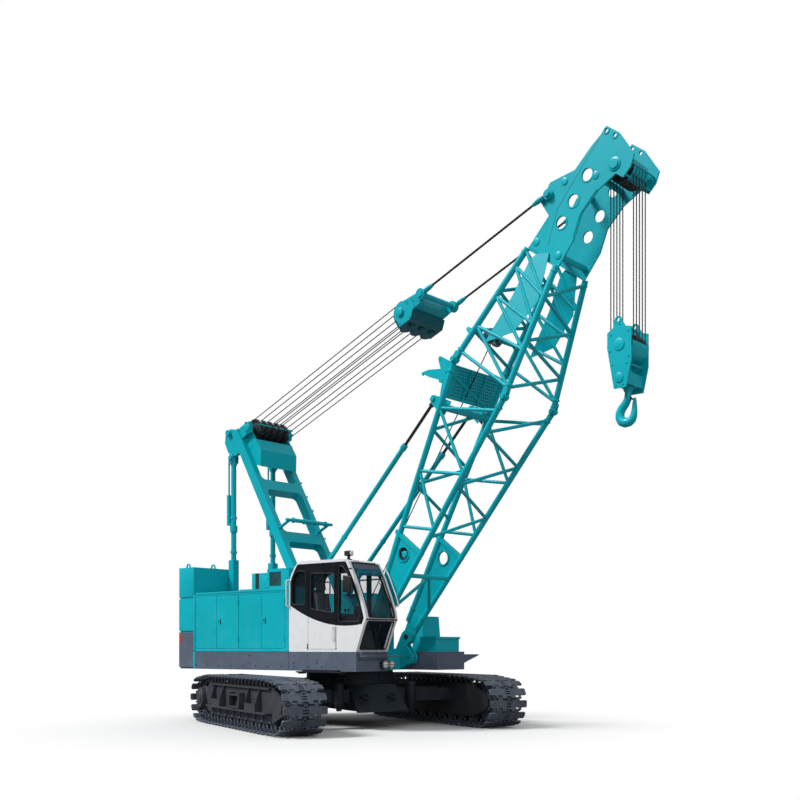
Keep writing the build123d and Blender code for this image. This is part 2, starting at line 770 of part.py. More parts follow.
# Places of the braces' ends along the boom, from chord to chord
base_sides = (True, (2064, 2427, 3084, 3554, 4199, 4780))     # the first end is on the rear chord
base_front = (2259, 2790, 3326, 3878, 4358, 4850)
base_rear = (2320, 2835, 3274, 3821, 4354, 4800)
tip_sides = (False, (5187, 5200, 5187, 5689, 5805, 6255, 6221, 6817, 6659, 7110))
tip_front = (5187, 5570, 5955, 6300, 6664, 7067)
tip_rear = (5187, 5600, 5950, 6350, 6750, 7100)
web_end = 1925.0
platform = (4400.0, 4940.0)
guide_along = 5560.0
rear_bracket = [(4191, 830), (4195, 885), (4432, 996), (4609, 1067), (4521, 1361), (4481, 1593), (4609, 1466),
                (4757, 1216), (4860, 1352), (4935, 1309), (4960, 1110), (4891, 960)]
side_board = [(5546, 657), (5947, 255), (6560, 165), (7261, 492), (7150, 700), (7020, 759), (6408, 675)]


def chord_point(start, end, share, corner):
    """A point on one chord of a section: corner gives front or rear, and the side."""
    rear, sign = corner
    a = stations[start]
    b = stations[end]
    along = lerp(a[0], b[0], share)
    square = lerp(a[2], b[2], share) if rear else lerp(a[1], b[1], share)
    inset = chord_diameter / 2
    square += -inset if rear else inset
    y = sign * (lerp(a[3], b[3], share) - inset)
    return boom_node(along, square, y)


def rear_chord(along):
    """How far square to the boom the rear chords' centre line is, at a place on the lower section."""
    share = (along - stations["foot"][0]) / (base_length - stations["foot"][0])
    return lerp(stations["foot"][2], stations["joint"][2], share) - chord_diameter / 2


chord_corners = [(False, -1), (False, 1), (True, 1), (True, -1)]
section_eye_radius = 62.0
section_eye_width = 44.0
section_eye_clear = 72.0      # joint pin to the end of the other section's chord


def section_eyes(start, end, share, spans):
    """Plates on the four chord ends of a section: one eye, or the two sides of a fork."""
    plates = []
    for corner in chord_corners:
        x, y, z = chord_point(start, end, share, corner)
        inner = chord_point(start, end, 0.5, corner)
        turn = angle_between((x, z), (inner[0], inner[2]))
        outline = [polar((x, z), turn, 0, -50), polar((x, z), turn, 150, -45),
                   polar((x, z), turn, 150, 45), polar((x, z), turn, 0, 50)]
        for y0, y1 in spans:
            plates.append(side_plate(outline, y + y0, y + y1))
            plates.append(disc(x, z, section_eye_radius, y + y0, y + y1))
    return plates


def zigzag(section, first, second, places, diameter):
    """Braces that run to and fro between two chords of a section, from place to place along it."""
    start, end = section
    bars = []
    ends = []
    for index, along in enumerate(places):
        share = (along - stations[start][0]) / (stations[end][0] - stations[start][0])
        ends.append(chord_point(start, end, share, (first, second)[index % 2]))
    for a, b in zip(ends, ends[1:]):
        bars.append(rod(a, b, diameter))
    return bars


def lattice(section, sides, front, rear, first_share, last_share):
    """Four chords and the zigzag braces of the two sides, the front and the rear."""
    start, end = section
    front_right, front_left, rear_left, rear_right = chord_corners
    bars = [rod(chord_point(start, end, first_share, corner), chord_point(start, end, last_share, corner),
                chord_diameter) for corner in chord_corners]
    first_rear, side_places = sides
    for low, high in ((front_right, rear_right), (front_left, rear_left)):
        pair = (high, low) if first_rear else (low, high)
        bars += zigzag(section, *pair, side_places, brace_diameter)
    bars += zigzag(section, front_right, front_left, front, brace_diameter)
    bars += zigzag(section, rear_left, rear_right, rear, brace_diameter)
    return bars


def face_plate(section, points, side, thickness):
    """A plate in the tapering side face of a section: points are along and square to the boom."""
    start, end = section
    corners = []
    for along, square in points:
        share = (along - stations[start][0]) / (stations[end][0] - stations[start][0])
        y = lerp(stations[start][3], stations[end][3], share) - chord_diameter / 2
        corners.append(boom_node(along, square, side * y - thickness / 2))
    return extrude(make_face(Polyline(*corners, close=True)), amount=thickness, dir=(0, 1, 0))


def cross_bar(section, along, square, diameter):
    """A bar across the boom between the two side faces, at a height square to it."""
    start, end = section
    share = (along - stations[start][0]) / (stations[end][0] - stations[start][0])
    y = lerp(stations[start][3], stations[end][3], share) - chord_diameter / 2
    return rod(boom_node(along, square, -y), boom_node(along, square, y), diameter)


def boom_base():
    """Lower section: foot eyes, web plates, lattice, backstop lugs and rear chord brackets."""
    section = ("foot", "joint")
    clear = section_eye_clear / (base_length - stations["foot"][0])
    bars = lattice(section, base_sides, base_front, base_rear, 0.0, 1 - clear)
    bars += section_eyes("foot", "joint", 1.0, ((-section_eye_width / 2, section_eye_width / 2),))
    eye_y0 = foot_half_width - foot_eye_thickness / 2
    eye_y1 = foot_half_width + foot_eye_thickness / 2
    foot = [on_boom(-20, -118), on_boom(420, -140), on_boom(420, 200), on_boom(-20, 118)]
    web = [(240, -130), (web_end, -205), (web_end, 545), (240, 195)]
    rim = [(web_end - 45, -205), (web_end + 25, -205), (web_end + 25, 560), (web_end - 45, 540)]
    for sign in (-1, 1):
        span = sorted((sign * eye_y0, sign * eye_y1))
        bars.append(side_plate(foot, *span))
        bars.append(disc(*foot_pin, foot_eye_radius, *span))
        bars.append(face_plate(section, web, sign, 24))
        bars.append(face_plate(section, rim, sign, 80))
        bars.append(face_plate(section, rear_bracket, sign, 30))
        bars.append(rod(boom_node(web_end - 490, -150, 0), boom_node(720, -130, sign * 490), brace_diameter))
    bars.append(cross_bar(section, web_end - 480, -150, 80))
    along, square = backstop_eye
    root = square - backstop_eye_height
    bars.append(cross_bar(section, along, root, 2 * backstop_lug_radius - 30))
    lug = [on_boom(along - 130, root), on_boom(along - backstop_lug_radius, square),
           on_boom(along - 40, square + 60), on_boom(along + 40, square + 60),
           on_boom(along + backstop_lug_radius, square), on_boom(along + 130, root)]
    gap = backstop_tube_diameter / 2 + 6
    for y in (-gantry_half_width, gantry_half_width):
        for side in (-1, 1):
            bars.append(side_plate(lug, *sorted((y + side * gap, y + side * (gap + 18)))))
    share = (platform[0] - stations["foot"][0]) / (base_length - stations["foot"][0])
    reach = lerp(stations["foot"][3], stations["joint"][3], share) - chord_diameter / 2
    level = rear_chord(platform[0])
    deck = [on_boom(platform[0], level - 6), on_boom(platform[1], rear_chord(platform[1]) - 6),
            on_boom(platform[1], rear_chord(platform[1]) + 6), on_boom(platform[0], level + 6)]
    bars.append(side_plate(deck, -reach, reach))
    body = joined(*bars)
    x, z = on_boom(web_end - 245, 175)
    for y in (-foot_half_width, foot_half_width):
        body = body - disc(*foot_pin, foot_pin_radius + running_fit, y - 200, y + 200)
        body = body - disc(x, z, 120, y - 120, y + 120)
    return body


def boom_foot_pins():
    reach = foot_half_width + foot_eye_thickness / 2 + seat_gap + lug_thickness
    inner = foot_half_width - foot_eye_thickness / 2 - seat_gap - lug_thickness
    return group([disc(*foot_pin, foot_pin_radius, inner, reach),
                  disc(*foot_pin, foot_pin_radius, -reach, -inner)])


def head_point(along, square):
    """A point of the boom head, along from where it starts and square to the boom."""
    return on_boom(head_start + along, square)


def head_outline():
    """Side plate of the boom head."""
    return [head_point(a, s) for a, s in (
        (-20, 950), (590, 870), (700, 1150), (1030, 1160), (1370, 820), (1790, 740), (1980, 680),
        (2140, 660), (2140, 370), (1980, -80), (1800, -130), (1610, -100), (1610, 60), (1280, 220),
        (860, 290), (490, 190), (-20, 210))]


pendant_ear = head_point(860, 1060)
jib_bore_rear = head_point(2080, 610)
jib_bore_front = head_point(2080, 420)
head_pin = on_boom(tip_length, head_sheave_offset)


def boom_tip():
    """Upper section with the head plates, the side boards and the guide shaft for the hoist rope."""
    section = ("joint", "head")
    clear = section_eye_clear / (head_start - base_length)
    bars = lattice(section, tip_sides, tip_front, tip_rear, clear, 1.0)
    inner = section_eye_width / 2 + seat_gap
    bars += section_eyes("joint", "head", 0.0, ((-inner - 24, -inner), (inner, inner + 24)))
    y1 = head_half_width + head_plate / 2
    y0 = head_half_width - head_plate / 2
    guide = [(guide_along - 85, 960), (guide_along + 85, 940), (guide_along + 30, 1150), (guide_along - 20, 1150)]
    for sign in (-1, 1):
        bars.append(side_plate(head_outline(), *sorted((sign * y0, sign * y1))))
        bars.append(face_plate(section, side_board, sign, 14))
        bars.append(face_plate(section, guide, sign, 24))
    bars.append(cross_bar(section, guide_along, 1080, 50))
    bars += [disc(*on_boom(guide_along, 1080), 105, y - 20, y + 20) for y in (-120, 120)]
    bars += [disc(*head_point(a, s), 50, -y0, y0) for a, s in ((150, 850), (150, 320), (1150, 900), (1450, 395))]
    body = joined(*bars)
    holes = [(*head_point(1400, 550), 100), (*head_point(970, 560), 100), (*head_point(600, 570), 100),
             (*jib_bore_rear, jib_bore_radius), (*jib_bore_front, jib_bore_radius)]
    for x, z, radius in holes:
        body = body - disc(x, z, radius, -600, 600)
    return body


def head_sheaves():
    x, z = head_pin
    reach = head_half_width - head_plate / 2 - seat_gap
    pin = disc(x, z, 60, -reach, reach)
    wheels = []
    for index in range(sheave_count):
        y = (index - (sheave_count - 1) / 2) * sheave_pitch
        wheels.append(disc(x, z, head_sheave_radius - rope_diameter / 2, y - 24, y + 24))
    return joined(pin, *wheels)


# ------------------------------------------------------------------ luffing gear
luff_angle = angle_between(gantry_pin, pendant_ear)
luff_distance = math.dist(gantry_pin, pendant_ear)
pendant_length = 2930.0
pendant_y = 440.0
spreader_shaft_radius = 50.0
block_length = 570.0
spreader_pin = luff_distance - pendant_length
spreader_axis = spreader_pin - block_length


def stay_point(distance, square=0.0):
    return polar(gantry_pin, luff_angle, distance, square)


def luffing_falls():
    """The runs between the gantry's sheaves and the spreader's, over them and under them."""
    ropes = []
    square = gantry_sheave_radius + seat_gap
    for side in (-1, 1):
        x0, z0 = stay_point(0, side * square)
        x1, z1 = stay_point(spreader_axis, side * square)
        for y in luffing_planes():
            ropes.append(rod((x0, y, z0), (x1, y, z1), rope_diameter))
    return group(ropes)


def spreader():
    """Sheave block between two end plates, with its under plate and the shaft that the pendants hang on."""
    half = spreader_half_width
    axis = spreader_axis
    plate = [stay_point(axis - 150, -80), stay_point(axis - 110, -255), stay_point(axis + 190, -255),
             stay_point(axis + 300, -110), stay_point(spreader_pin + 20, -90), stay_point(spreader_pin + 20, 90),
             stay_point(axis + 300, 130), stay_point(axis, 170)]
    pieces = []
    for y0 in (half - 24, -half):
        pieces.append(side_plate(plate, y0, y0 + 24))
        pieces.append(disc(*stay_point(axis), 170, y0, y0 + 24))
        pieces.append(disc(*stay_point(spreader_pin), 92, y0, y0 + 24))
    under = [stay_point(axis - 110, -255), stay_point(axis + 190, -255), stay_point(axis + 190, -238),
             stay_point(axis - 110, -238)]
    box = [stay_point(axis + 240, -110), stay_point(axis + 450, -90), stay_point(axis + 450, 90),
           stay_point(axis + 240, 140)]
    pieces.append(side_plate(under, -half, half))
    pieces.append(side_plate(box, -half, half))
    pieces.append(disc(*stay_point(spreader_pin), spreader_shaft_radius, -pendant_y - 40, pendant_y + 40))
    pieces.append(disc(*stay_point(axis), 40, -half, half))
    for y in luffing_planes():
        pieces.append(disc(*stay_point(axis), gantry_sheave_radius - rope_diameter / 2, y - 18, y + 18))
    return joined(*pieces)


def pendants():
    """Two stay ropes: an eye on the spreader's shaft, and a plate beside the boom head's ear."""
    low = stay_point(spreader_pin)
    high = pendant_ear
    rope_start = stay_point(spreader_pin + 60)
    rope_end = polar(high, luff_angle, -150)
    rope = rod((rope_start[0], pendant_y, rope_start[1]), (rope_end[0], pendant_y, rope_end[1]), 44)
    socket_end = stay_point(spreader_pin + 260)
    low_socket = rod((rope_start[0], pendant_y, rope_start[1]), (socket_end[0], pendant_y, socket_end[1]), 80)
    eye = disc(*low, 100, pendant_y - 35, pendant_y + 35)
    bore = disc(*low, spreader_shaft_radius + seat_gap, pendant_y - 40, pendant_y + 40)
    socket_start = polar(high, luff_angle, -300)
    high_socket = rod((socket_start[0], pendant_y, socket_start[1]), (rope_end[0], pendant_y, rope_end[1]), 80)
    face = head_half_width + head_plate / 2 + seat_gap
    outline = [polar(high, luff_angle, -240, -40), polar(high, luff_angle, 0, -60),
               polar(high, luff_angle, 0, 60), polar(high, luff_angle, -240, 40)]
    plate = side_plate(outline, face, face + 35)
    end = disc(*high, 60, face, face + 35)
    pin_head = disc(*high, 38, face + 35, face + 60)
    side = joined(rope, low_socket, eye, high_socket, plate, end, pin_head) - bore
    return group([side, mirrored(side)])


# ------------------------------------------------------------------ backstops
backstop_eye = (base_length - 800.0, rear_chord(base_length - 800.0) + backstop_eye_height)
stop_eye = on_boom(*backstop_eye)
stop_angle = angle_between(backstop_foot, stop_eye)
stop_distance = math.dist(backstop_foot, stop_eye)


def backstop_tube():
    """Tube with its eye on the gantry leg's bracket, bored for the rod."""
    y = gantry_half_width
    half = backstop_tube_diameter / 2
    foot = backstop_foot
    end = polar(foot, stop_angle, stop_distance - backstop_exposed)
    start = polar(foot, stop_angle, 900)
    tube = rod((foot[0], y, foot[1]), (end[0], y, end[1]), backstop_tube_diameter)
    eye = disc(*foot, backstop_eye_radius, y - half, y + half)
    pin_bore = disc(*foot, backstop_pin_radius + running_fit, y - 100, y + 100)
    rod_bore = rod((start[0], y, start[1]), (end[0], y, end[1]), backstop_rod_diameter + 2 * running_fit)
    side = joined(tube, eye) - pin_bore - rod_bore
    return group([side, mirrored(side)])


def backstop_rod():
    """Rod with its end between the boom's lugs."""
    y = gantry_half_width
    half = backstop_tube_diameter / 2
    start = polar(backstop_foot, stop_angle, stop_distance - 2 * backstop_exposed)
    bar = rod((start[0], y, start[1]), (stop_eye[0], y, stop_eye[1]), backstop_rod_diameter)
    eye = disc(*stop_eye, 45, y - half, y + half)
    side = joined(bar, eye)
    return group([side, mirrored(side)])


# ------------------------------------------------------------------ hook block and falls
block_pin = (head_pin[0], head_pin[1] - hook_drop)


def hoist_falls():
    ropes = []
    for index in range(sheave_count):
        y = (index - (sheave_count - 1) / 2) * sheave_pitch
        for sign in (-1, 1):
            x = head_pin[0] + sign * (head_sheave_radius + seat_gap)
            ropes.append(rod((x, y, block_pin[1]), (x, y, head_pin[1]), rope_diameter))
    return group(ropes)


def hook_block():
    """Sheave block between two cheek plates, with the trunnion that carries the hook."""
    x, z = block_pin
    cheek = [(-216, 203), (-112, 270), (-80, 385), (40, 385), (108, 272), (216, 245), (216, -275),
             (124, -674), (-97, -674), (-216, -41)]
    cheek = [(x + dx, z + dz) for dx, dz in cheek]
    half = (sheave_count * sheave_pitch) / 2 + 20
    pieces = [disc(x, z, 60, -half, half)]
    for y0 in (-half - 25, half):
        pieces.append(side_plate(cheek, y0, y0 + 25))
        pieces.append(disc(x - 20, z + 385, 60, y0, y0 + 25))
    pieces.append(block(x - 125, x + 125, -half, half, z - block_trunnion - 190, z - block_trunnion))
    for index in range(sheave_count):
        y = (index - (sheave_count - 1) / 2) * sheave_pitch
        pieces.append(disc(x, z, head_sheave_radius - rope_diameter / 2, y - 24, y + 24))
    body = joined(*pieces)
    return body - disc(x - 20, z + 385, 28, -half - 30, half + 30)


def hook():
    """Point hook: shank, bowl and an upright tip, hanging from the block's trunnion."""
    x, z = block_pin
    top = z - block_trunnion - 190
    centre = top - hook_bowl_drop
    shank = rod((x, 0, top - seat_gap), (x, 0, centre + hook_bowl_radius), 110)
    bowl = Pos(x, 0, centre) * Rot(90, 0, 0) * Torus(hook_bowl_radius, 56)
    gap = block(x + 10, x + 300, -100, 100, centre, centre + 300)
    tip = rod((x + hook_bowl_radius, 0, centre), (x + hook_bowl_radius + 12, 0, centre + 240), 84)
    return shank + (bowl - gap) + tip


# ------------------------------------------------------------------ assembly
turned = Rot(0, 0, track_turn)


def under(shape, side=0):
    """Undercarriage piece: out to its track and turned under the upper works."""
    return turned * Pos(0, side * track_y, 0) * shape


def under_group(shape):
    return group([under(shape, -1), under(mirrored(shape), 1)])


nodes = {}
for side, name in ((-1, "right"), (1, "left")):
    nodes[f"track_{name}"] = under(track_loop(), side)
    nodes[f"track_frame_{name}"] = under(track_frame(), side)
nodes["drive_wheels"] = under_group(wheel(-wheel_x, True))
nodes["idler_wheels"] = under_group(wheel(wheel_x, False))
nodes["track_rollers"] = under_group(group(rollers()))
nodes["travel_drives"] = under_group(mirrored(travel_drive()))
nodes["carbody"] = under(carbody())
nodes["slew_ring"] = under(slew_ring())

nodes["main_frame"] = main_frame()
nodes["boom_foot_pins"] = boom_foot_pins()
for side, name in ((-1, "right"), (1, "left")):
    nodes[f"deck_{name}"] = side_deck(side)
    nodes[f"house_{name}"] = house_shell(side)
    for index in range(4):
        nodes[f"house_door_{name}_{index + 1}"] = house_door(index, side)
for level, name in enumerate(("lower", "middle", "top")):
    nodes[f"counterweight_{name}"] = ballast(level)
nodes["engine"] = engine()
nodes["roof_boxes"] = roof_boxes()
nodes["cab_shell"] = cab_shell()
nodes["cab_glass"] = cab_panes()
nodes["cab_door"] = cab_door()
nodes["cab_door_glass"] = cab_door_pane()
nodes["cab_seat"] = cab_seat()
nodes["cab_console"] = cab_console()
nodes["front_box"] = front_box()
nodes["catwalk"] = catwalk()
nodes["winch_drums"] = winch_drums()
nodes["gantry"] = gantry()
nodes["gantry_sheaves"] = gantry_sheaves()
nodes["backstays"] = backstays()
nodes["boom_base"] = boom_base()
nodes["boom_tip"] = boom_tip()
nodes["head_sheaves"] = head_sheaves()
nodes["luffing_falls"] = luffing_falls()
nodes["spreader"] = spreader()
nodes["pendants"] = pendants()
nodes["backstop_tubes"] = backstop_tube()
nodes["backstop_rods"] = backstop_rod()
nodes["hoist_falls"] = hoist_falls()
nodes["hook_block"] = hook_block()
nodes["hook"] = hook()

os.makedirs("parts", exist_ok=True)
for name, shape in nodes.items():
    export_step(Pos(slewing_axis_x, 0, 0) * shape, f"parts/{name}.step")
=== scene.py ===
"""Crawler crane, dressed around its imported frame."""

import json
import logging
import math
from dataclasses import dataclass
from enum import IntEnum

import bmesh
import bpy
from mathutils import Matrix, Vector


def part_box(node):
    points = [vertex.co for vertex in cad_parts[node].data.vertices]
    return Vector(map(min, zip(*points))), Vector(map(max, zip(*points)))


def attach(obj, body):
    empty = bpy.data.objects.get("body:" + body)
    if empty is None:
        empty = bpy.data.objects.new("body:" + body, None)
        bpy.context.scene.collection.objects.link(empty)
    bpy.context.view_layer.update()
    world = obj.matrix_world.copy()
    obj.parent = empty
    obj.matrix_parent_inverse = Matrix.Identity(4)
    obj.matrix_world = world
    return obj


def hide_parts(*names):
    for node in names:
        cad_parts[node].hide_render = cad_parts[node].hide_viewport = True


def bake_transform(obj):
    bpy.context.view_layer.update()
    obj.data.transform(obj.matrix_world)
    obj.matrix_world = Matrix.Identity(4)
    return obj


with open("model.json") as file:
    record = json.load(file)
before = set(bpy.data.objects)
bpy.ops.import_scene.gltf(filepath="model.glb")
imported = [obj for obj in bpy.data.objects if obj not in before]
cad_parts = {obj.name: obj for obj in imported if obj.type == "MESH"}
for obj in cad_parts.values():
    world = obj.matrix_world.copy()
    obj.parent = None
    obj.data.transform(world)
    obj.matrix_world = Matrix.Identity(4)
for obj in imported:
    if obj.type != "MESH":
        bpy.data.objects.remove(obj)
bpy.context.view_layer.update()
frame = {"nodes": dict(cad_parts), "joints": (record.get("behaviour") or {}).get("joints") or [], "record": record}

LOG = logging.getLogger("crawler_crane")
Point = tuple[float, float, float]
Colour = tuple[float, float, float]
Corner = Vector | Point
Profile = list[tuple[float, float]]
AHEAD, ACROSS, UP = Vector((1, 0, 0)), Vector((0, 1, 0)), Vector((0, 0, 1))
SHARP = 0.6
TIP = 1e-6


class Side(IntEnum):
    """A side of the machine, with the sign of its Y."""

    RIGHT = -1
    LEFT = 1

    @property
    def label(self) -> str:
        """Right or left, in small letters."""
        return self.name.lower()

    @property
    def out(self) -> Vector:
        """Square out from the machine on this side."""
        return Vector((0, self, 0))


# ---------------------------------------------------------------- shader maths
class Value:
    """A number on its way through a shader, with the usual operators."""

    def __init__(self, graph: "Graph", socket: bpy.types.NodeSocket) -> None:
        """Wrap a socket of a graph.

        Args:
            graph: The graph that the socket belongs to.
            socket: The output socket that carries the number.
        """
        self.graph = graph
        self.socket = socket

    def maths(self, operation: str, first: object, second: object = 0.0) -> "Value":
        """Add one Math node.

        Args:
            operation: Its operation.
            first: Its first number or value.
            second: Its second number or value.

        Returns:
            The result.
        """
        node = self.graph.node("ShaderNodeMath", {"operation": operation}, {0: first, 1: second})
        return Value(self.graph, node.outputs[0])

    def __add__(self, other: object) -> "Value":
        """Sum."""
        return self.maths("ADD", self, other)

    __radd__ = __add__

    def __sub__(self, other: object) -> "Value":
        """Difference."""
        return self.maths("SUBTRACT", self, other)

    def __rsub__(self, other: object) -> "Value":
        """Difference, the other way round."""
        return self.maths("SUBTRACT", other, self)

    def __mul__(self, other: object) -> "Value":
        """Product."""
        return self.maths("MULTIPLY", self, other)

    __rmul__ = __mul__

    def __pow__(self, other: object) -> "Value":
        """Power."""
        return self.maths("POWER", self, other)

    def __gt__(self, other: object) -> "Value":
        """One where it is more, else nought."""
        return self.maths("GREATER_THAN", self, other)

    def __lt__(self, other: object) -> "Value":
        """One where it is less, else nought."""
        return self.maths("LESS_THAN", self, other)

    def at_least(self, other: object) -> "Value":
        """The larger of the two."""
        return self.maths("MAXIMUM", self, other)

    def sine(self) -> "Value":
        """Sine."""
        return self.maths("SINE", self)

    def step(self, start: float, end: float) -> "Value":
        """Smooth step.

        Args:
            start: Where it is nought.
            end: Where it is one.

        Returns:
            The eased share between the two.
        """
        settings = {"interpolation_type": "SMOOTHSTEP", "clamp": True}
        node = self.graph.node("ShaderNodeMapRange", settings, {0: self, 1: start, 2: end, 3: 0.0, 4: 1.0})
        return Value(self.graph, node.outputs[0])


class Nodes:
    """A node tree, and the one way of adding a node to it."""

    def __init__(self, tree: bpy.types.NodeTree) -> None:
        """Start without nodes.

        Args:
            tree: The tree.
        """
        self.tree = tree
        tree.nodes.clear()

    def node(self, kind: str, settings: dict | None = None, sockets: dict | None = None) -> bpy.types.Node:
        """Add a node of any type.

        Args:
            kind: Its type.
            settings: Its settings, which are set first.
            sockets: Values or links of its sockets, by name or place.

        Returns:
            The node.
        """
        node = self.tree.nodes.new(kind)
        for key, value in (settings or {}).items():
            setattr(node, key, value)
        for key, value in (sockets or {}).items():
            value = value.socket if isinstance(value, Value) else value
            if isinstance(value, bpy.types.NodeSocket):
                self.tree.links.new(value, node.inputs[key])
            else:
                node.inputs[key].default_value = value
        return node


class Graph(Nodes):
    """A material or a world, and its nodes."""

    def __init__(self, owner: bpy.types.Material | bpy.types.World) -> None:
        """Start with the places of the surface.

        Args:
            owner: The material or world.
        """
        owner.use_nodes = True
        super().__init__(owner.node_tree)
        self.owner = owner
        self.place = self.node("ShaderNodeTexCoord").outputs["Object"]

    def axes(self, socket: bpy.types.NodeSocket | None = None) -> list[Value]:
        """The X, Y and Z of a vector.

        Args:
            socket: The vector, or nothing for the place in metres.

        Returns:
            Its three values.
        """
        node = self.node("ShaderNodeSeparateXYZ", None, {0: socket or self.place})
        return [Value(self, out) for out in node.outputs]

    def noise(self, scale: float, detail: float = 2.0, stretch: Point = (1.0, 1.0, 1.0)) -> Value:
        """Noise from nought to one.

        Args:
            scale: Its waves to the metre.
            detail: Its finer layers.
            stretch: What each axis is multiplied by first.

        Returns:
            The noise.
        """
        spot = self.node("ShaderNodeMapping", None, {0: self.place, 3: stretch}).outputs[0]
        node = self.node("ShaderNodeTexNoise", None, {"Vector": spot, "Scale": scale, "Detail": detail})
        return Value(self, node.outputs[0])

    def mix(self, mask: object, under: object, over: object) -> bpy.types.NodeSocket:
        """One colour over another.

        Args:
            mask: How much of the upper colour shows.
            under: The lower colour.
            over: The upper colour.

        Returns:
            The mixed colour.
        """
        sockets = {0: mask}
        for key, shade in ((6, under), (7, over)):
            sockets[key] = (*shade, 1.0) if isinstance(shade, tuple) else shade
        return self.node("ShaderNodeMix", {"data_type": "RGBA"}, sockets).outputs[2]

    def bump(self, height: Value, distance: float, strength: float = 1.0) -> bpy.types.NodeSocket:
        """Relief.

        Args:
            height: The height, from nought to one.
            distance: How high one is, in metres.
            strength: How much of it shows.

        Returns:
            The bent normal.
        """
        sockets = {"Height": height, "Distance": distance, "Strength": strength}
        return self.node("ShaderNodeBump", None, sockets).outputs[0]

    def surface(self, **sockets: object) -> bpy.types.Material:
        """Finish the material with the standard shader.

        Args:
            **sockets: Values or links of the shader's sockets, with _ for a space.

        Returns:
            The material.
        """
        named = {key.replace("_", " "): value for key, value in sockets.items()}
        shader = self.node("ShaderNodeBsdfPrincipled", None, named)
        self.node("ShaderNodeOutputMaterial", None, {"Surface": shader.outputs[0]})
        return self.owner


def shade(colour: Colour, share: float) -> Colour:
    """A colour made darker or lighter.

    Args:
        colour: The colour.
        share: What it is multiplied by.

    Returns:
        The new colour.
    """
    return tuple(min(1.0, part * share) for part in colour)


# ---------------------------------------------------------------- finishes
@dataclass(frozen=True)
class Enamel:
    """Sprayed paint with a slight orange peel, dust that settles low down, and thin streaks."""

    name: str
    colour: Colour
    roughness: float = 0.32
    coat: float = 0.03
    dust: float = 0.05
    dust_colour: Colour = (0.42, 0.40, 0.36)

    def make(self) -> bpy.types.Material:
        """Build the material.

        Returns:
            The material.
        """
        graph = Graph(bpy.data.materials.new(self.name))
        height = graph.axes()[2]
        broad = graph.noise(0.9, 3.0)
        cloudy = graph.noise(5.0, 4.0)
        peel = graph.noise(260.0, 1.0)
        streaks = graph.noise(9.0, 3.0, (1.0, 1.0, 0.08))
        paint = graph.mix(broad.step(0.3, 0.7), shade(self.colour, 0.93), shade(self.colour, 1.06))
        low = 1.0 - height.step(0.2, 3.2)
        settled = (cloudy.step(0.42, 0.75) * 0.7 + streaks.step(0.55, 0.8) * 0.4) * (low * 0.8 + 0.2)
        paint = graph.mix(settled * self.dust, paint, self.dust_colour)
        rough = self.roughness + settled * 0.25 + (peel - 0.5) * 0.05
        return graph.surface(Base_Color=paint, Roughness=rough, Coat_Weight=self.coat, Coat_Roughness=0.12,
                             Specular_IOR_Level=0.2, Normal=graph.bump(peel, 0.0006, 0.35))


@dataclass(frozen=True)
class Cast:
    """Cast or rolled steel with a grainy skin, worn bright in places."""

    name: str
    colour: Colour
    worn: Colour
    roughness: float = 0.55
    metallic: float = 0.35
    wear: float = 0.5

    def make(self) -> bpy.types.Material:
        """Build the material.

        Returns:
            The material.
        """
        graph = Graph(bpy.data.materials.new(self.name))
        grain = graph.noise(180.0, 3.0)
        cloudy = graph.noise(7.0, 5.0)
        scuffs = graph.noise(30.0, 4.0, (1.0, 1.0, 0.35))
        skin = graph.mix(cloudy.step(0.3, 0.7), shade(self.colour, 0.8), shade(self.colour, 1.15))
        rubbed = scuffs.step(0.55, 0.72) * self.wear
        skin = graph.mix(rubbed, skin, self.worn)
        rough = self.roughness - rubbed * 0.2 + (grain - 0.5) * 0.16
        relief = graph.bump(grain * 0.7 + cloudy * 0.3, 0.0015, 0.5)
        return graph.surface(Base_Color=skin, Roughness=rough,
                             Metallic=self.metallic + rubbed * 0.4, Normal=relief)


@dataclass(frozen=True)
class Glass:
    """Tinted safety glass with a faint film of dust."""

    name: str
    colour: Colour
    cover: float = 0.45

    def make(self) -> bpy.types.Material:
        """Build the material.

        Returns:
            The material.
        """
        graph = Graph(bpy.data.materials.new(self.name))
        film = graph.noise(6.0, 4.0).step(0.45, 0.8)
        tint = graph.mix(film * 0.05, self.colour, (0.5, 0.52, 0.52))
        return graph.surface(Base_Color=tint, Roughness=film * 0.06 + 0.02, Alpha=film * 0.04 + self.cover,
                             IOR=1.5, Specular_IOR_Level=0.8, Coat_Weight=0.6, Coat_Roughness=0.02)


@dataclass(frozen=True)
class Soft:
    """Woven cloth or moulded plastic: a fine two-way grain."""

    name: str
    colour: Colour
    pitch: float
    roughness: float
    relief: float

    def make(self) -> bpy.types.Material:
        """Build the material.

        Returns:
            The material.
        """
        graph = Graph(bpy.data.materials.new(self.name))
        across, along, up = graph.axes()
        waves = 2 * math.pi / self.pitch
        weave = (across * waves).sine() * (along * waves).sine() * 0.5 + (up * waves).sine() * 0.25 + 0.5
        mottle = graph.noise(14.0, 4.0)
        cloth = graph.mix(weave.step(0.2, 0.8), shade(self.colour, 0.75), shade(self.colour, 1.25))
        cloth = graph.mix(mottle.step(0.5, 0.8) * 0.2, cloth, shade(self.colour, 1.6))
        return graph.surface(Base_Color=cloth, Roughness=self.roughness + (mottle - 0.5) * 0.1,
                             Specular_IOR_Level=0.25, Normal=graph.bump(weave, self.relief, 0.6))


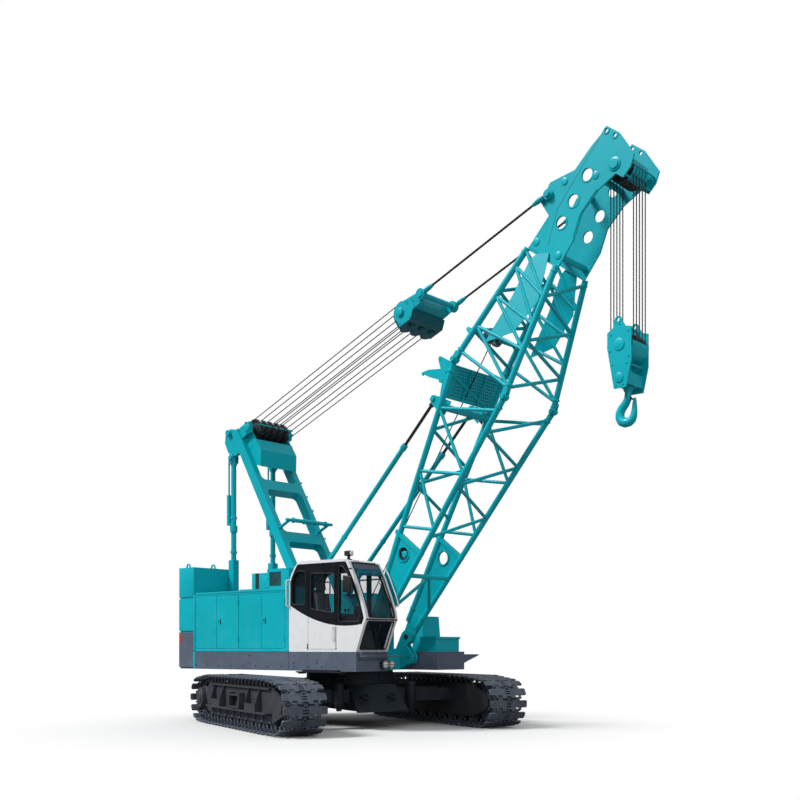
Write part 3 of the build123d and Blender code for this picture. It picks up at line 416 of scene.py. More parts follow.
@dataclass(frozen=True)
class Banded:
    """Enamel with a dark band over the cab's side windows, whose lower edge is a curve, and painted shade on the
    cab's inside faces.
    """

    name: str
    light: Colour
    dark: Colour
    wall: float = 0.052
    rim: float = 0.055

    def make(self) -> bpy.types.Material:
        """Build the material.

        Returns:
            The material.
        """
        graph = Graph(bpy.data.materials.new(self.name))
        x, y, z = graph.axes()
        x = x - SLEWING.x
        sill = (1.35 - x) ** 2 * 0.18 + 1.85
        rise = z - 1.974
        nose = 1.83 - rise * 0.258 - rise * rise * 0.188
        chin = rise * 0.488 + 1.83
        bend = (z - 2.65).at_least(0.0)
        tail = bend * 0.3 + bend * bend * 0.9 - 0.151
        inside = (z > sill) * (x < nose - self.rim) * (x < chin - self.rim)
        inside = inside * (z < 2.975) * (x > tail + self.rim * 0.7)
        walls = (y < Cab.right + self.wall) + (y > Cab.left - self.wall)
        # The cab's inside faces take the dark colour as painted shade.
        room_shade = (y > Cab.right + 0.045) * (y < Cab.left - 0.045) * (x > -0.106) * (x < nose - 0.045)
        room_shade = room_shade * (x < chin - 0.045) * (z > 1.43) * (z < 2.985)
        fleck = graph.noise(6.0, 3.0)
        peel = graph.noise(260.0, 1.0)
        light = graph.mix(fleck.step(0.3, 0.7), shade(self.light, 0.985), shade(self.light, 1.01))
        dark = graph.mix(fleck.step(0.3, 0.7), shade(self.dark, 0.8), shade(self.dark, 1.4))
        paint = graph.mix((inside * walls).at_least(room_shade), light, dark)
        return graph.surface(Base_Color=paint, Roughness=fleck * 0.08 + 0.24, Specular_IOR_Level=0.3,
                             Normal=graph.bump(peel, 0.0006, 0.3))


TEAL = (0.0, 0.358, 0.428)
GREY = (0.082, 0.105, 0.148)
FINISHES = {
    "paint_teal": Enamel("teal_enamel", TEAL),
    "paint_grey": Enamel("grey_enamel", GREY, 0.42, 0.05, 0.10),
    "paint_white": Enamel("white_enamel", (0.66, 0.67, 0.69), 0.28, 0.1, 0.03),
    # One paint in two copies: the darker undercarriage_paint is painted shade under the house, frame_paint is the
    # lighter copy.
    "undercarriage_paint": Enamel("black_enamel", (0.010, 0.014, 0.021), 0.45, 0.0, 0.025),
    "frame_paint": Enamel("track_frame_enamel", (0.034, 0.037, 0.046), 0.55, 0.0, 0.05),
    "track_steel": Cast("track_steel", (0.072, 0.087, 0.116), (0.22, 0.24, 0.28), 0.5, 0.3, 0.3),
    "sheave_steel": Cast("sheave_steel", (0.03, 0.035, 0.04), (0.2, 0.2, 0.2), 0.5, 0.5),
    "pin_steel": Cast("pin_steel", (0.030, 0.034, 0.042), (0.16, 0.17, 0.18), 0.4, 0.6),
    "wire_rope": Cast("wire_rope", (0.018, 0.020, 0.024), (0.12, 0.12, 0.12), 0.55, 0.4),
    "cab_glass": Glass("tinted_glass", (0.01, 0.03, 0.045), 0.12),
    "seat_fabric": Soft("seat_cloth", (0.07, 0.07, 0.08), 0.004, 0.85, 0.0008),
    "console_plastic": Soft("console_plastic", (0.035, 0.037, 0.04), 0.002, 0.6, 0.0003),
    "black_trim": Soft("black_trim", (0.012, 0.012, 0.013), 0.003, 0.5, 0.0002),
    # Dark finish of the exhaust, and painted shade in holes, slots and hollows.
    "dark_hollow": Soft("dark_hollow", (0.018, 0.024, 0.026), 0.006, 0.8, 0.0004),
    # Dark teal behind the intake's screen: painted shade.
    "screen_back": Soft("screen_back", (0.012, 0.07, 0.085), 0.006, 0.8, 0.0004),
    # Dark teal of the spreader's underside: painted shade.
    "spreader_shadow": Enamel("spreader_teal", (0.0, 0.10, 0.125)),
    "screen_wire": Cast("screen_wire", (0.02, 0.15, 0.18), (0.12, 0.24, 0.26), 0.5, 0.4),
    "sun_band": Glass("sun_band", (0.005, 0.03, 0.07), 0.88),
    "mirror_glass": Cast("mirror_glass", (0.30, 0.33, 0.36), (0.5, 0.5, 0.5), 0.12, 0.9, 0.1),
    "lamp_lens": Glass("lamp_lens", (0.72, 0.74, 0.70), 0.92),
    # White cab enamel with its dark window band, and painted shade on the cab's inside faces.
    "cab_enamel": Banded("cab_enamel", (0.66, 0.67, 0.69), (0.004, 0.005, 0.008)),
    "red_reflector": Enamel("red_reflector", (0.62, 0.02, 0.01), 0.15, 0.8, 0.05),
}


NODE_FINISHES = {"cab_shell": "cab_enamel", "cab_door": "cab_enamel", "track_frame_right": "frame_paint",
                 "track_frame_left": "frame_paint"}


@dataclass
class Studio:
    """Pale floor, soft light and the camera."""

    camera_place: Point = (13.541, -14.377, 1.460)
    camera_azimuth: float = 37.7
    focal_length: float = 48.07
    shift: tuple[float, float] = (-0.1346, 0.3102)
    floor_fade: tuple[float, float] = (2.6, 6.6)

    def build(self) -> None:
        """Make the floor, the lights and the camera."""
        self.floor()
        self.lights()
        self.camera()

    def camera(self) -> None:
        """Stand the camera at eye height, level, with its frame shifted up."""
        data = bpy.data.cameras.new("camera")
        data.sensor_width = 36.0
        data.lens = self.focal_length
        data.shift_x, data.shift_y = self.shift
        data.clip_start, data.clip_end = 0.5, 200.0
        camera = linked("camera", data)
        camera.location = self.camera_place
        camera.rotation_euler = (math.pi / 2, 0.0, math.radians(self.camera_azimuth))
        bpy.context.scene.camera = camera

    def floor(self) -> None:
        """A wide pale disc that turns to plain white away from the machine."""
        mesh = bpy.data.meshes.new("floor")
        rim = [(x, y, 0.0) for x, y in circle(120.0, 64)]
        mesh.from_pydata(rim, [], [list(range(len(rim)))])
        graph = Graph(bpy.data.materials.new("floor"))
        x, y, _ = graph.axes()
        x = x - SLEWING.x
        far = ((x * x + y * y) ** 0.5).step(*self.floor_fade)
        speckle = graph.noise(30.0, 3.0)
        pale = graph.mix(speckle, (0.60, 0.60, 0.60), (0.62, 0.62, 0.62))
        seen = Value(graph, graph.node("ShaderNodeLightPath").outputs["Is Camera Ray"])
        near = graph.mix(seen, (0.22, 0.22, 0.22), pale)
        diffuse = graph.node("ShaderNodeBsdfDiffuse", None, {"Color": near})
        white = graph.node("ShaderNodeEmission", None, {"Color": (1, 1, 1, 1), "Strength": 1.0})
        mixed = graph.node("ShaderNodeMixShader", None,
                           {0: far * seen, 1: diffuse.outputs[0], 2: white.outputs[0]})
        graph.node("ShaderNodeOutputMaterial", None, {"Surface": mixed.outputs[0]})
        mesh.materials.append(graph.owner)
        linked("floor", mesh)

    def lights(self) -> None:
        """A bright even sky and one wide soft lamp high on the camera's left."""
        graph = Graph(bpy.data.worlds.new("studio"))
        bpy.context.scene.world = graph.owner
        height = graph.axes(graph.place.node.outputs["Generated"])[2]
        rise = graph.node("ShaderNodeMapRange", None, {0: height, 1: 0.0, 2: 0.9, 3: 0.12, 4: 0.66})
        sky = graph.node("ShaderNodeBackground", None,
                         {"Color": (0.97, 0.985, 1.0, 1.0), "Strength": rise.outputs[0]})
        backdrop = graph.node("ShaderNodeBackground", None, {"Color": (1, 1, 1, 1), "Strength": 1.0})
        seen = graph.node("ShaderNodeLightPath").outputs["Is Camera Ray"]
        mixed = graph.node("ShaderNodeMixShader", None, {0: seen, 1: sky.outputs[0], 2: backdrop.outputs[0]})
        graph.node("ShaderNodeOutputWorld", None, {0: mixed.outputs[0]})
        self.lamp("key", (0.78, 0.0, -0.62), 3.7, 0.3)
        self.lamp("fill", (1.15, 0.0, 1.05), 0.95, 0.9)

    def lamp(self, name: str, turn: Point, energy: float, angle: float) -> None:
        """Hang one sun lamp.

        Args:
            name: Its name.
            turn: Its rotation, in radians.
            energy: Its strength.
            angle: Its width, in radians.
        """
        data = bpy.data.lights.new(name, "SUN")
        data.energy, data.angle = energy, angle
        linked(name, data).rotation_euler = turn


# ---------------------------------------------------------------- places
def joint(name: str) -> dict:
    """The record's joint of that name.

    Args:
        name: The joint's name.

    Returns:
        Its row.
    """
    return next(row for row in frame["joints"] if row["name"] == name)


SLEWING = Vector(joint("slewing")["pos_m"])


def at(x: float, y: float, z: float) -> Vector:
    """A place about the slewing axis, in metres, in the frame.

    Args:
        x: Forward of the slewing axis.
        y: To the machine's left.
        z: Above the ground.

    Returns:
        The place.
    """
    return Vector((SLEWING.x + x, y, z))


@dataclass(frozen=True)
class Lay:
    """A line in the machine's side plane that pieces are laid out along."""

    x: float
    z: float
    angle: float

    def at(self, along: float, square: float, y: float = 0.0) -> Vector:
        """A place along the line, square to it, and across the machine.

        Args:
            along: How far along the line.
            square: How far square to it, upwards.
            y: How far to the machine's left.

        Returns:
            The place.
        """
        turn = math.radians(self.angle)
        x = self.x + along * math.cos(turn) - square * math.sin(turn)
        return Vector((x, y, self.z + along * math.sin(turn) + square * math.cos(turn)))


LUFF = joint("boom_luff")
BOOM_ANGLE = 30.0 - LUFF["range_deg"][0]
BOOM = Lay(LUFF["pos_m"][0], LUFF["pos_m"][2], BOOM_ANGLE)
HEAD = Vector(joint("hoist_line_swing")["pos_m"])
BLOCK = Vector((HEAD.x, 0.0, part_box("hoist_falls")[0].z))
STAY_FOOT = Vector(joint("luffing_line_swing")["pos_m"])
STAY_AXIS = Vector(joint("luffing_stay_slide")["axis"])
STAY = Lay(STAY_FOOT.x, STAY_FOOT.z, math.degrees(math.atan2(STAY_AXIS.z, STAY_AXIS.x)))


def linked(name: str, data: bpy.types.ID) -> bpy.types.Object:
    """Put an object in the scene.

    Args:
        name: Its name.
        data: What it shows.

    Returns:
        The object.
    """
    made = bpy.data.objects.new(name, data)
    bpy.context.scene.collection.objects.link(made)
    return made


def baked(carrier: bpy.types.Object) -> bpy.types.Mesh:
    """An object's mesh with its modifiers applied."""
    return bpy.data.meshes.new_from_object(carrier.evaluated_get(bpy.context.evaluated_depsgraph_get()))


# ---------------------------------------------------------------- outlines
def circle(radius: float, count: int, start: float = 0.0) -> Profile:
    """Corners of a circle.

    Args:
        radius: Its radius.
        count: Its corners.
        start: The turn of the first, in radians.

    Returns:
        The corners.
    """
    turns = [2 * math.pi * step / count + start for step in range(count)]
    return [(radius * math.cos(turn), radius * math.sin(turn)) for turn in turns]


def bent_strip(outer: float, inner: float, degrees: range) -> Profile:
    """Outline of a strip bent about a middle.

    Args:
        outer: Its outer radius.
        inner: Its inner radius.
        degrees: The turns of its corners.

    Returns:
        The outline, out along the one radius and back along the other.
    """
    turns = [math.radians(turn) for turn in degrees]
    strip = [(outer * math.cos(turn), outer * math.sin(turn)) for turn in turns]
    return strip + [(inner * math.cos(turn), inner * math.sin(turn)) for turn in reversed(turns)]


def disc(radius: float, high: float, low: float = 0.0) -> Profile:
    """Profile of a plain round."""
    return [(0.0, low), (radius, low), (radius, high), (0.0, high)]


def band(inner: float, outer: float, low: float, high: float) -> Profile:
    """Profile of a plain ring."""
    return [(inner, low), (outer, low), (outer, high), (inner, high)]


def cap(radius: float, high: float, top: float, crown: float) -> Profile:
    """Profile of a round with a chamfer towards its flat top."""
    return [(0.0, 0.0), (radius, 0.0), (radius, high), (top, crown), (0.0, crown)]


def bolt_head(radius: float, high: float, crown: float, low: float = 0.0) -> Profile:
    """Profile of a bolt's head with a pointed top."""
    return [(radius, low), (radius, high), (0.0, crown)]


def headed_pin(radius: float, low: float, neck: float, head: float, top: float, crown: float) -> Profile:
    """Profile of a pin with a wider head."""
    return [(0.0, low), (radius, low), (radius, neck), (head, neck), (head, top), (0.0, crown)]


def planes(count: int, pitch: float) -> list[float]:
    """The Y of each wheel of a pack."""
    return [(index - (count - 1) / 2) * pitch for index in range(count)]


def rounded(corners: list[Corner], radius: float, closed: bool = False, steps: int = 4) -> list[Vector]:
    """A path with its corners rounded.

    Args:
        corners: The path's corners.
        radius: How far from a corner the rounding starts.
        closed: True where the path's ends meet.
        steps: Steps of each rounding.

    Returns:
        The rounded path.
    """
    corners = [Vector(corner) for corner in corners]
    path = []
    for index, corner in enumerate(corners):
        if not closed and index in (0, len(corners) - 1):
            path.append(corner)
            continue
        back = corners[index - 1] - corner
        ahead = corners[(index + 1) % len(corners)] - corner
        reach = min(radius, back.length * 0.49, ahead.length * 0.49)
        start = corner + back.normalized() * reach
        end = corner + ahead.normalized() * reach
        for step in range(steps + 1):
            share = step / steps
            path.append(start * (1 - share) ** 2 + corner * (2 * share * (1 - share)) + end * share ** 2)
    return path


# ---------------------------------------------------------------- mesh tools
class Shape:
    """Collects closed solids into one mesh, in metres in the frame."""

    def __init__(self) -> None:
        """Start empty."""
        self.bm = bmesh.new()

    def take(self, part: bmesh.types.BMesh, place: Matrix | None = None) -> None:
        """Add a small mesh.

        Args:
            part: The mesh, freed afterwards.
            place: Where it goes, or nothing where it is in place.
        """
        if place is not None:
            bmesh.ops.transform(part, matrix=place, verts=part.verts)
        bmesh.ops.recalc_face_normals(part, faces=part.faces)
        mesh = bpy.data.meshes.new("part")
        part.to_mesh(mesh)
        part.free()
        self.bm.from_mesh(mesh)
        bpy.data.meshes.remove(mesh)

    def bevelled(self, part: bmesh.types.BMesh, width: float, segments: int = 2) -> bmesh.types.BMesh:
        """Round the sharp edges of a small mesh.

        Args:
            part: The mesh.
            width: How far the rounding reaches.
            segments: Its steps.

        Returns:
            The same mesh.
        """
        if width > 0:
            sharp = [e for e in part.edges if e.is_manifold and e.calc_face_angle(0.0) > SHARP]
            bmesh.ops.bevel(part, geom=sharp, offset=width, segments=segments, profile=0.5,
                            affect="EDGES", clamp_overlap=True)
        return part

    def box(self, corner: Corner, other: Corner, bevel: float = 0.0, place: Matrix | None = None) -> None:
        """Add a block between two opposite corners.

        Args:
            corner: One corner.
            other: The opposite one.
            bevel: Rounding of its edges.
            place: Where it goes.
        """
        part = bmesh.new()
        bmesh.ops.create_cube(part, size=1.0)
        spans = [sorted(pair) for pair in zip(corner, other)]
        for vert in part.verts:
            vert.co = Vector([c * (b - a) + (a + b) / 2 for c, (a, b) in zip(vert.co, spans)])
        self.take(self.bevelled(part, bevel), place)

    def plate(self, outline: list[Corner], depth: Corner, bevel: float = 0.0, place: Matrix | None = None,
              segments: int = 2) -> None:
        """Add a flat outline drawn out by a depth.

        Args:
            outline: Its corners.
            depth: How far and which way it is drawn out.
            bevel: Rounding of its edges.
            place: Where it goes.
            segments: Steps of the rounding.
        """
        part = bmesh.new()
        face = part.faces.new([part.verts.new(Vector(corner)) for corner in outline])
        drawn = bmesh.ops.extrude_face_region(part, geom=[face])["geom"]
        moved = [item for item in drawn if isinstance(item, bmesh.types.BMVert)]
        bmesh.ops.translate(part, verts=moved, vec=Vector(depth))
        bmesh.ops.recalc_face_normals(part, faces=part.faces)
        self.take(self.bevelled(part, bevel, segments), place)

    def sweep(self, path: list[Corner], radius: float | list[float], sides: int = 12,
              closed: bool = False) -> None:
        """Add a round bar along a path.

        Args:
            path: Its places.
            radius: Its radius, or one for each place.
            sides: Its sides.
            closed: True where its ends meet.
        """
        path = [Vector(spot) for spot in path]
        count = len(path)
        radii = radius if isinstance(radius, list) else [radius] * count
        part = bmesh.new()
        rings = []
        normal = None
        for index, spot in enumerate(path):
            before = path[index - 1] if closed or index else spot
            after = path[(index + 1) % count] if closed or index < count - 1 else spot
            ahead = (after - before).normalized()
            if normal is None:
                normal = ahead.cross(UP if abs(ahead.z) < 0.9 else AHEAD).normalized()
            normal = (normal - ahead * normal.dot(ahead)).normalized()
            other = ahead.cross(normal)
            rings.append([part.verts.new(spot + normal * a + other * b)
                          for a, b in circle(radii[index], sides)])
        self.walls(part, rings, closed)
        if not closed:
            part.faces.new(rings[0])
            part.faces.new(rings[-1])
        self.take(part)

    def bar(self, middle: Corner, half: Corner, radius: float, sides: int = 12) -> None:
        """Add a straight round bar.

        Args:
            middle: Its middle.
            half: From there to one end.
            radius: Its radius.
            sides: Its sides.
        """
        middle, half = Vector(middle), Vector(half)
        self.sweep([middle - half, middle + half], radius, sides)

    def walls(self, part: bmesh.types.BMesh, rings: list[list[bmesh.types.BMVert]], closed: bool) -> None:
        """Join rings of corners by faces.

        Args:
            part: Where the faces go.
            rings: The rings; one of a single corner is a tip.
            closed: True where the last joins the first.
        """
        sides = max(len(ring) for ring in rings)
        for first, second in zip(rings, rings[1:] + (rings[:1] if closed else [])):
            for side in range(sides):
                after = (side + 1) % sides
                corners = [first[side % len(first)], first[after % len(first)], second[after % len(second)],
                           second[side % len(second)]]
                part.faces.new(list(dict.fromkeys(corners)))

    def lathe(self, profile: Profile, base: Corner, axis: Corner, sides: int = 32,
              hollow: bool = False) -> None:
        """Add a turned solid.

        Args:
            profile: Radius and height of each corner, from one end to the other.
            base: Where its height is nought.
            axis: Which way its height goes.
            sides: Its sides.
            hollow: True where the profile's last corner joins its first round a hole.
        """
        part = bmesh.new()
        rings = []
        for radius, height in profile:
            corners = [(0, 0)] if radius <= TIP else circle(radius, sides)
            rings.append([part.verts.new((x, y, height)) for x, y in corners])
        self.walls(part, rings, hollow)
        for ring in (rings[0], rings[-1]):
            if not hollow and len(ring) > 2:
                part.faces.new(ring)
        turned = Vector(axis).to_track_quat("Z", "Y").to_matrix().to_4x4()
        self.take(part, Matrix.Translation(base) @ turned)

    def ring(self, profile: Profile, base: Corner, axis: Corner, sides: int = 40) -> None:
        """Add a turned ring with a hole: the profile's last corner joins its first."""
        self.lathe(profile, base, axis, sides, True)

    def mesh(self, name: str) -> bpy.types.Mesh:
        """Finish the mesh, with smooth faces between sharp edges.

        Args:
            name: The mesh's name.

        Returns:
            The mesh.
        """
        mesh = bpy.data.meshes.new(name)
        self.bm.to_mesh(mesh)
        self.bm.free()
        for face in mesh.polygons:
            face.use_smooth = True
        mesh.set_sharp_from_angle(angle=SHARP)
        return mesh


class Along(Nodes):
    """A Geometry Nodes tree that makes pieces along paths, with named inputs."""

    def __init__(self, name: str, **inputs: str) -> None:
        """Start the tree with its inputs and the curve of its paths.

        Args:
            name: Its name.
            **inputs: The type of each input besides Paths and Finish.
        """
        super().__init__(bpy.data.node_groups.new(name, "GeometryNodeTree"))
        for title, kind in {"Paths": "Geometry", **inputs, "Finish": "Material"}.items():
            self.tree.interface.new_socket(title, in_out="INPUT", socket_type=f"NodeSocket{kind}")
        self.tree.interface.new_socket("Pieces", in_out="OUTPUT", socket_type="NodeSocketGeometry")
        self.given = self.node("NodeGroupInput").outputs
        self.curve = self.node("GeometryNodeMeshToCurve", None, {0: self.given["Paths"]}).outputs[0]

    def close(self, pieces: bpy.types.NodeSocket) -> None:
        """End the tree in Realize Instances and Set Material.

        Args:
            pieces: What it has made.
        """
        real = self.node("GeometryNodeRealizeInstances", None, {0: pieces})
        dressed = self.node("GeometryNodeSetMaterial", None,
                            {"Geometry": real.outputs[0], "Material": self.given["Finish"]})
        self.node("NodeGroupOutput", None, {0: dressed.outputs[0]})

    def along(self, paths: list[list[Corner]], closed: bool, **given: object) -> bpy.types.Mesh:
        """Run the tree and give the result as one plain mesh.

        Args:
            paths: Places of each path.
            closed: True where each path's ends meet.
            **given: Values of the tree's inputs.

        Returns:
            The mesh.
        """
        places, edges = [], []
        for path in paths:
            first = len(places)
            places += [tuple(spot) for spot in path]
            edges += [(index, index + 1) for index in range(first, len(places) - 1)]
            if closed:
                edges.append((len(places) - 1, first))
        base = bpy.data.meshes.new("paths")
        base.from_pydata(places, edges, [])
        carrier = linked("carrier", base)
        modifier = carrier.modifiers.new("along", "NODES")
        modifier.node_group = self.tree
        for item in self.tree.interface.items_tree:
            if item.in_out == "INPUT" and item.name in given:
                modifier[item.identifier] = given[item.name]
        bpy.context.view_layer.update()
        mesh = baked(carrier)
        carrier.modifiers.remove(modifier)
        bpy.data.objects.remove(carrier)
        return mesh


class Repeat(Along):
    """Sets one part at equal steps along paths."""

    def __init__(self) -> None:
        """Build the tree once."""
        super().__init__("repeat_along", Part="Object", Count="Int", Turn="Rotation")
        node, given = self.node, self.given
        upright = node("GeometryNodeSetCurveNormal", {"mode": "Z_UP"}, {0: self.curve})
        spots = node("GeometryNodeCurveToPoints", {"mode": "COUNT"},
                     {0: upright.outputs[0], "Count": given["Count"]})
        part = node("GeometryNodeObjectInfo", None, {"Object": given["Part"]})
        turned = node("FunctionNodeRotateRotation", {"rotation_space": "LOCAL"},
                      {0: spots.outputs["Rotation"], 1: given["Turn"]})
        placed = node("GeometryNodeInstanceOnPoints", None,
                      {"Points": spots.outputs["Points"], "Instance": part.outputs["Geometry"],
                       "Rotation": turned.outputs[0]})
        self.close(placed.outputs[0])

    def run(self, paths: list[list[Point]], closed: bool, part: Shape, count: int,
            finish: bpy.types.Material, turn: Point) -> bpy.types.Mesh:
        """Set a part along paths and give the result as one plain mesh.

        Args:
            paths: Places of each path.
            closed: True where each path's ends meet.
            part: The shape that is repeated: X square to the path, Z along it.
            count: How many on each path.
            finish: Its material.
            turn: A turn of every part, in radians.

        Returns:
            The mesh.
        """
        holder = linked("part", part.mesh("part"))
        mesh = self.along(paths, closed, Part=holder, Count=count, Turn=turn, Finish=finish)
        bpy.data.objects.remove(holder)
        return mesh


class Rope(Along):
    """Draws a lobed, twisted wire rope along a straight path."""

    def __init__(self) -> None:
        """Build the tree once."""
        super().__init__("wire_rope", Radius="Float", Lay="Float", Step="Float", Strands="Int")
        node, given = self.node, self.given
        fine = node("GeometryNodeResampleCurve", {"mode": "LENGTH"},
                    {"Curve": self.curve, "Length": given["Step"]})
        length = node("GeometryNodeSplineParameter")
        turns = node("ShaderNodeMath", {"operation": "DIVIDE"},
                     {0: length.outputs["Length"], 1: given["Lay"]})
        angle = node("ShaderNodeMath", {"operation": "MULTIPLY"}, {0: turns.outputs[0], 1: 2 * math.pi})
        twisted = node("GeometryNodeSetCurveTilt", None,
                       {"Curve": fine.outputs[0], "Tilt": angle.outputs[0]})
        inner = node("ShaderNodeMath", {"operation": "MULTIPLY"}, {0: given["Radius"], 1: 0.8})
        star = node("GeometryNodeCurveStar", None,
                    {"Points": given["Strands"], "Inner Radius": inner.outputs[0],
                     "Outer Radius": given["Radius"]})
        drawn = node("GeometryNodeCurveToMesh", None,
                     {"Curve": twisted.outputs[0], "Profile Curve": star.outputs[0], "Fill Caps": True})
        self.close(drawn.outputs[0])

    def run(self, paths: list[list[Corner]], radius: float, finish: bpy.types.Material, lay: float = 0.16,
            step: float = 0.04, strands: int = 6) -> bpy.types.Mesh:
        """Draw ropes along paths.

        Args:
            paths: Places of each rope.
            radius: The rope's radius.
            finish: Its material.
            lay: Length of one turn of the strands.
            step: Length of one step of the mesh.
            strands: How many strands.

        Returns:
            The mesh.
        """
        return self.along(paths, False, Radius=radius, Lay=lay, Step=step, Strands=strands, Finish=finish)


class Workshop:
    """Holds the materials and the trees that every sub-assembly uses."""

    def __init__(self) -> None:
        """Make every finish and both trees once."""
        self.materials = {name: finish.make() for name, finish in FINISHES.items()}
        self.repeat = Repeat()
        self.rope = Rope()

    def dress_nodes(self) -> None:
        """Put the finish of its slot on every node of the frame."""
        for subpart in frame["record"]["subparts"]:
            materials = frame["nodes"][subpart["node"]].data.materials
            materials.clear()
            materials.append(self.materials[NODE_FINISHES.get(subpart["node"], subpart["material_slot"])])


@dataclass
class Assembly:
    """A sub-assembly, and the workshop where its pieces are made."""

    shop: Workshop

    def put(self, mesh: bpy.types.Mesh | Shape, name: str, finish: str, body: str = "upper_works",
            replaces: tuple[str, ...] = (), span: tuple | None = None) -> bpy.types.Object:
        """Make a piece of a mesh and let it ride on a body.

        Args:
            mesh: Its mesh, in place.
            name: Its name.
            finish: Its finish.
            body: The body that it rides on.
            replaces: The nodes that it stands for.
            span: Where given, the piece rides on no body and stays in place; its bodies and places are not used.

        Returns:
            The piece.
        """
        if isinstance(mesh, Shape):
            mesh = mesh.mesh(name)
        mesh.name = name
        if not mesh.materials:
            mesh.materials.append(self.shop.materials[finish])
        piece = linked(name, mesh)
        if span:
            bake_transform(piece)
        else:
            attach(piece, body)
        if replaces:
            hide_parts(*replaces)
        LOG.info("%s on %s: %d faces", name, body, len(mesh.polygons))
        return piece

    def repeated(self, paths: list[list[Point]], closed: bool, part: Shape, count: int, finish: str,
                 turn: Point = (0.0, 0.0, 0.0)) -> bpy.types.Mesh:
        """Set a part along paths in a finish."""
        return self.shop.repeat.run(paths, closed, part, count, self.shop.materials[finish], turn)

    def roped(self, paths: list[list[Corner]], radius: float, *lay: float) -> bpy.types.Mesh:
        """Draw wire ropes along paths; lay holds their turn, step and strands."""
        return self.shop.rope.run(paths, radius, self.shop.materials["wire_rope"], *lay)


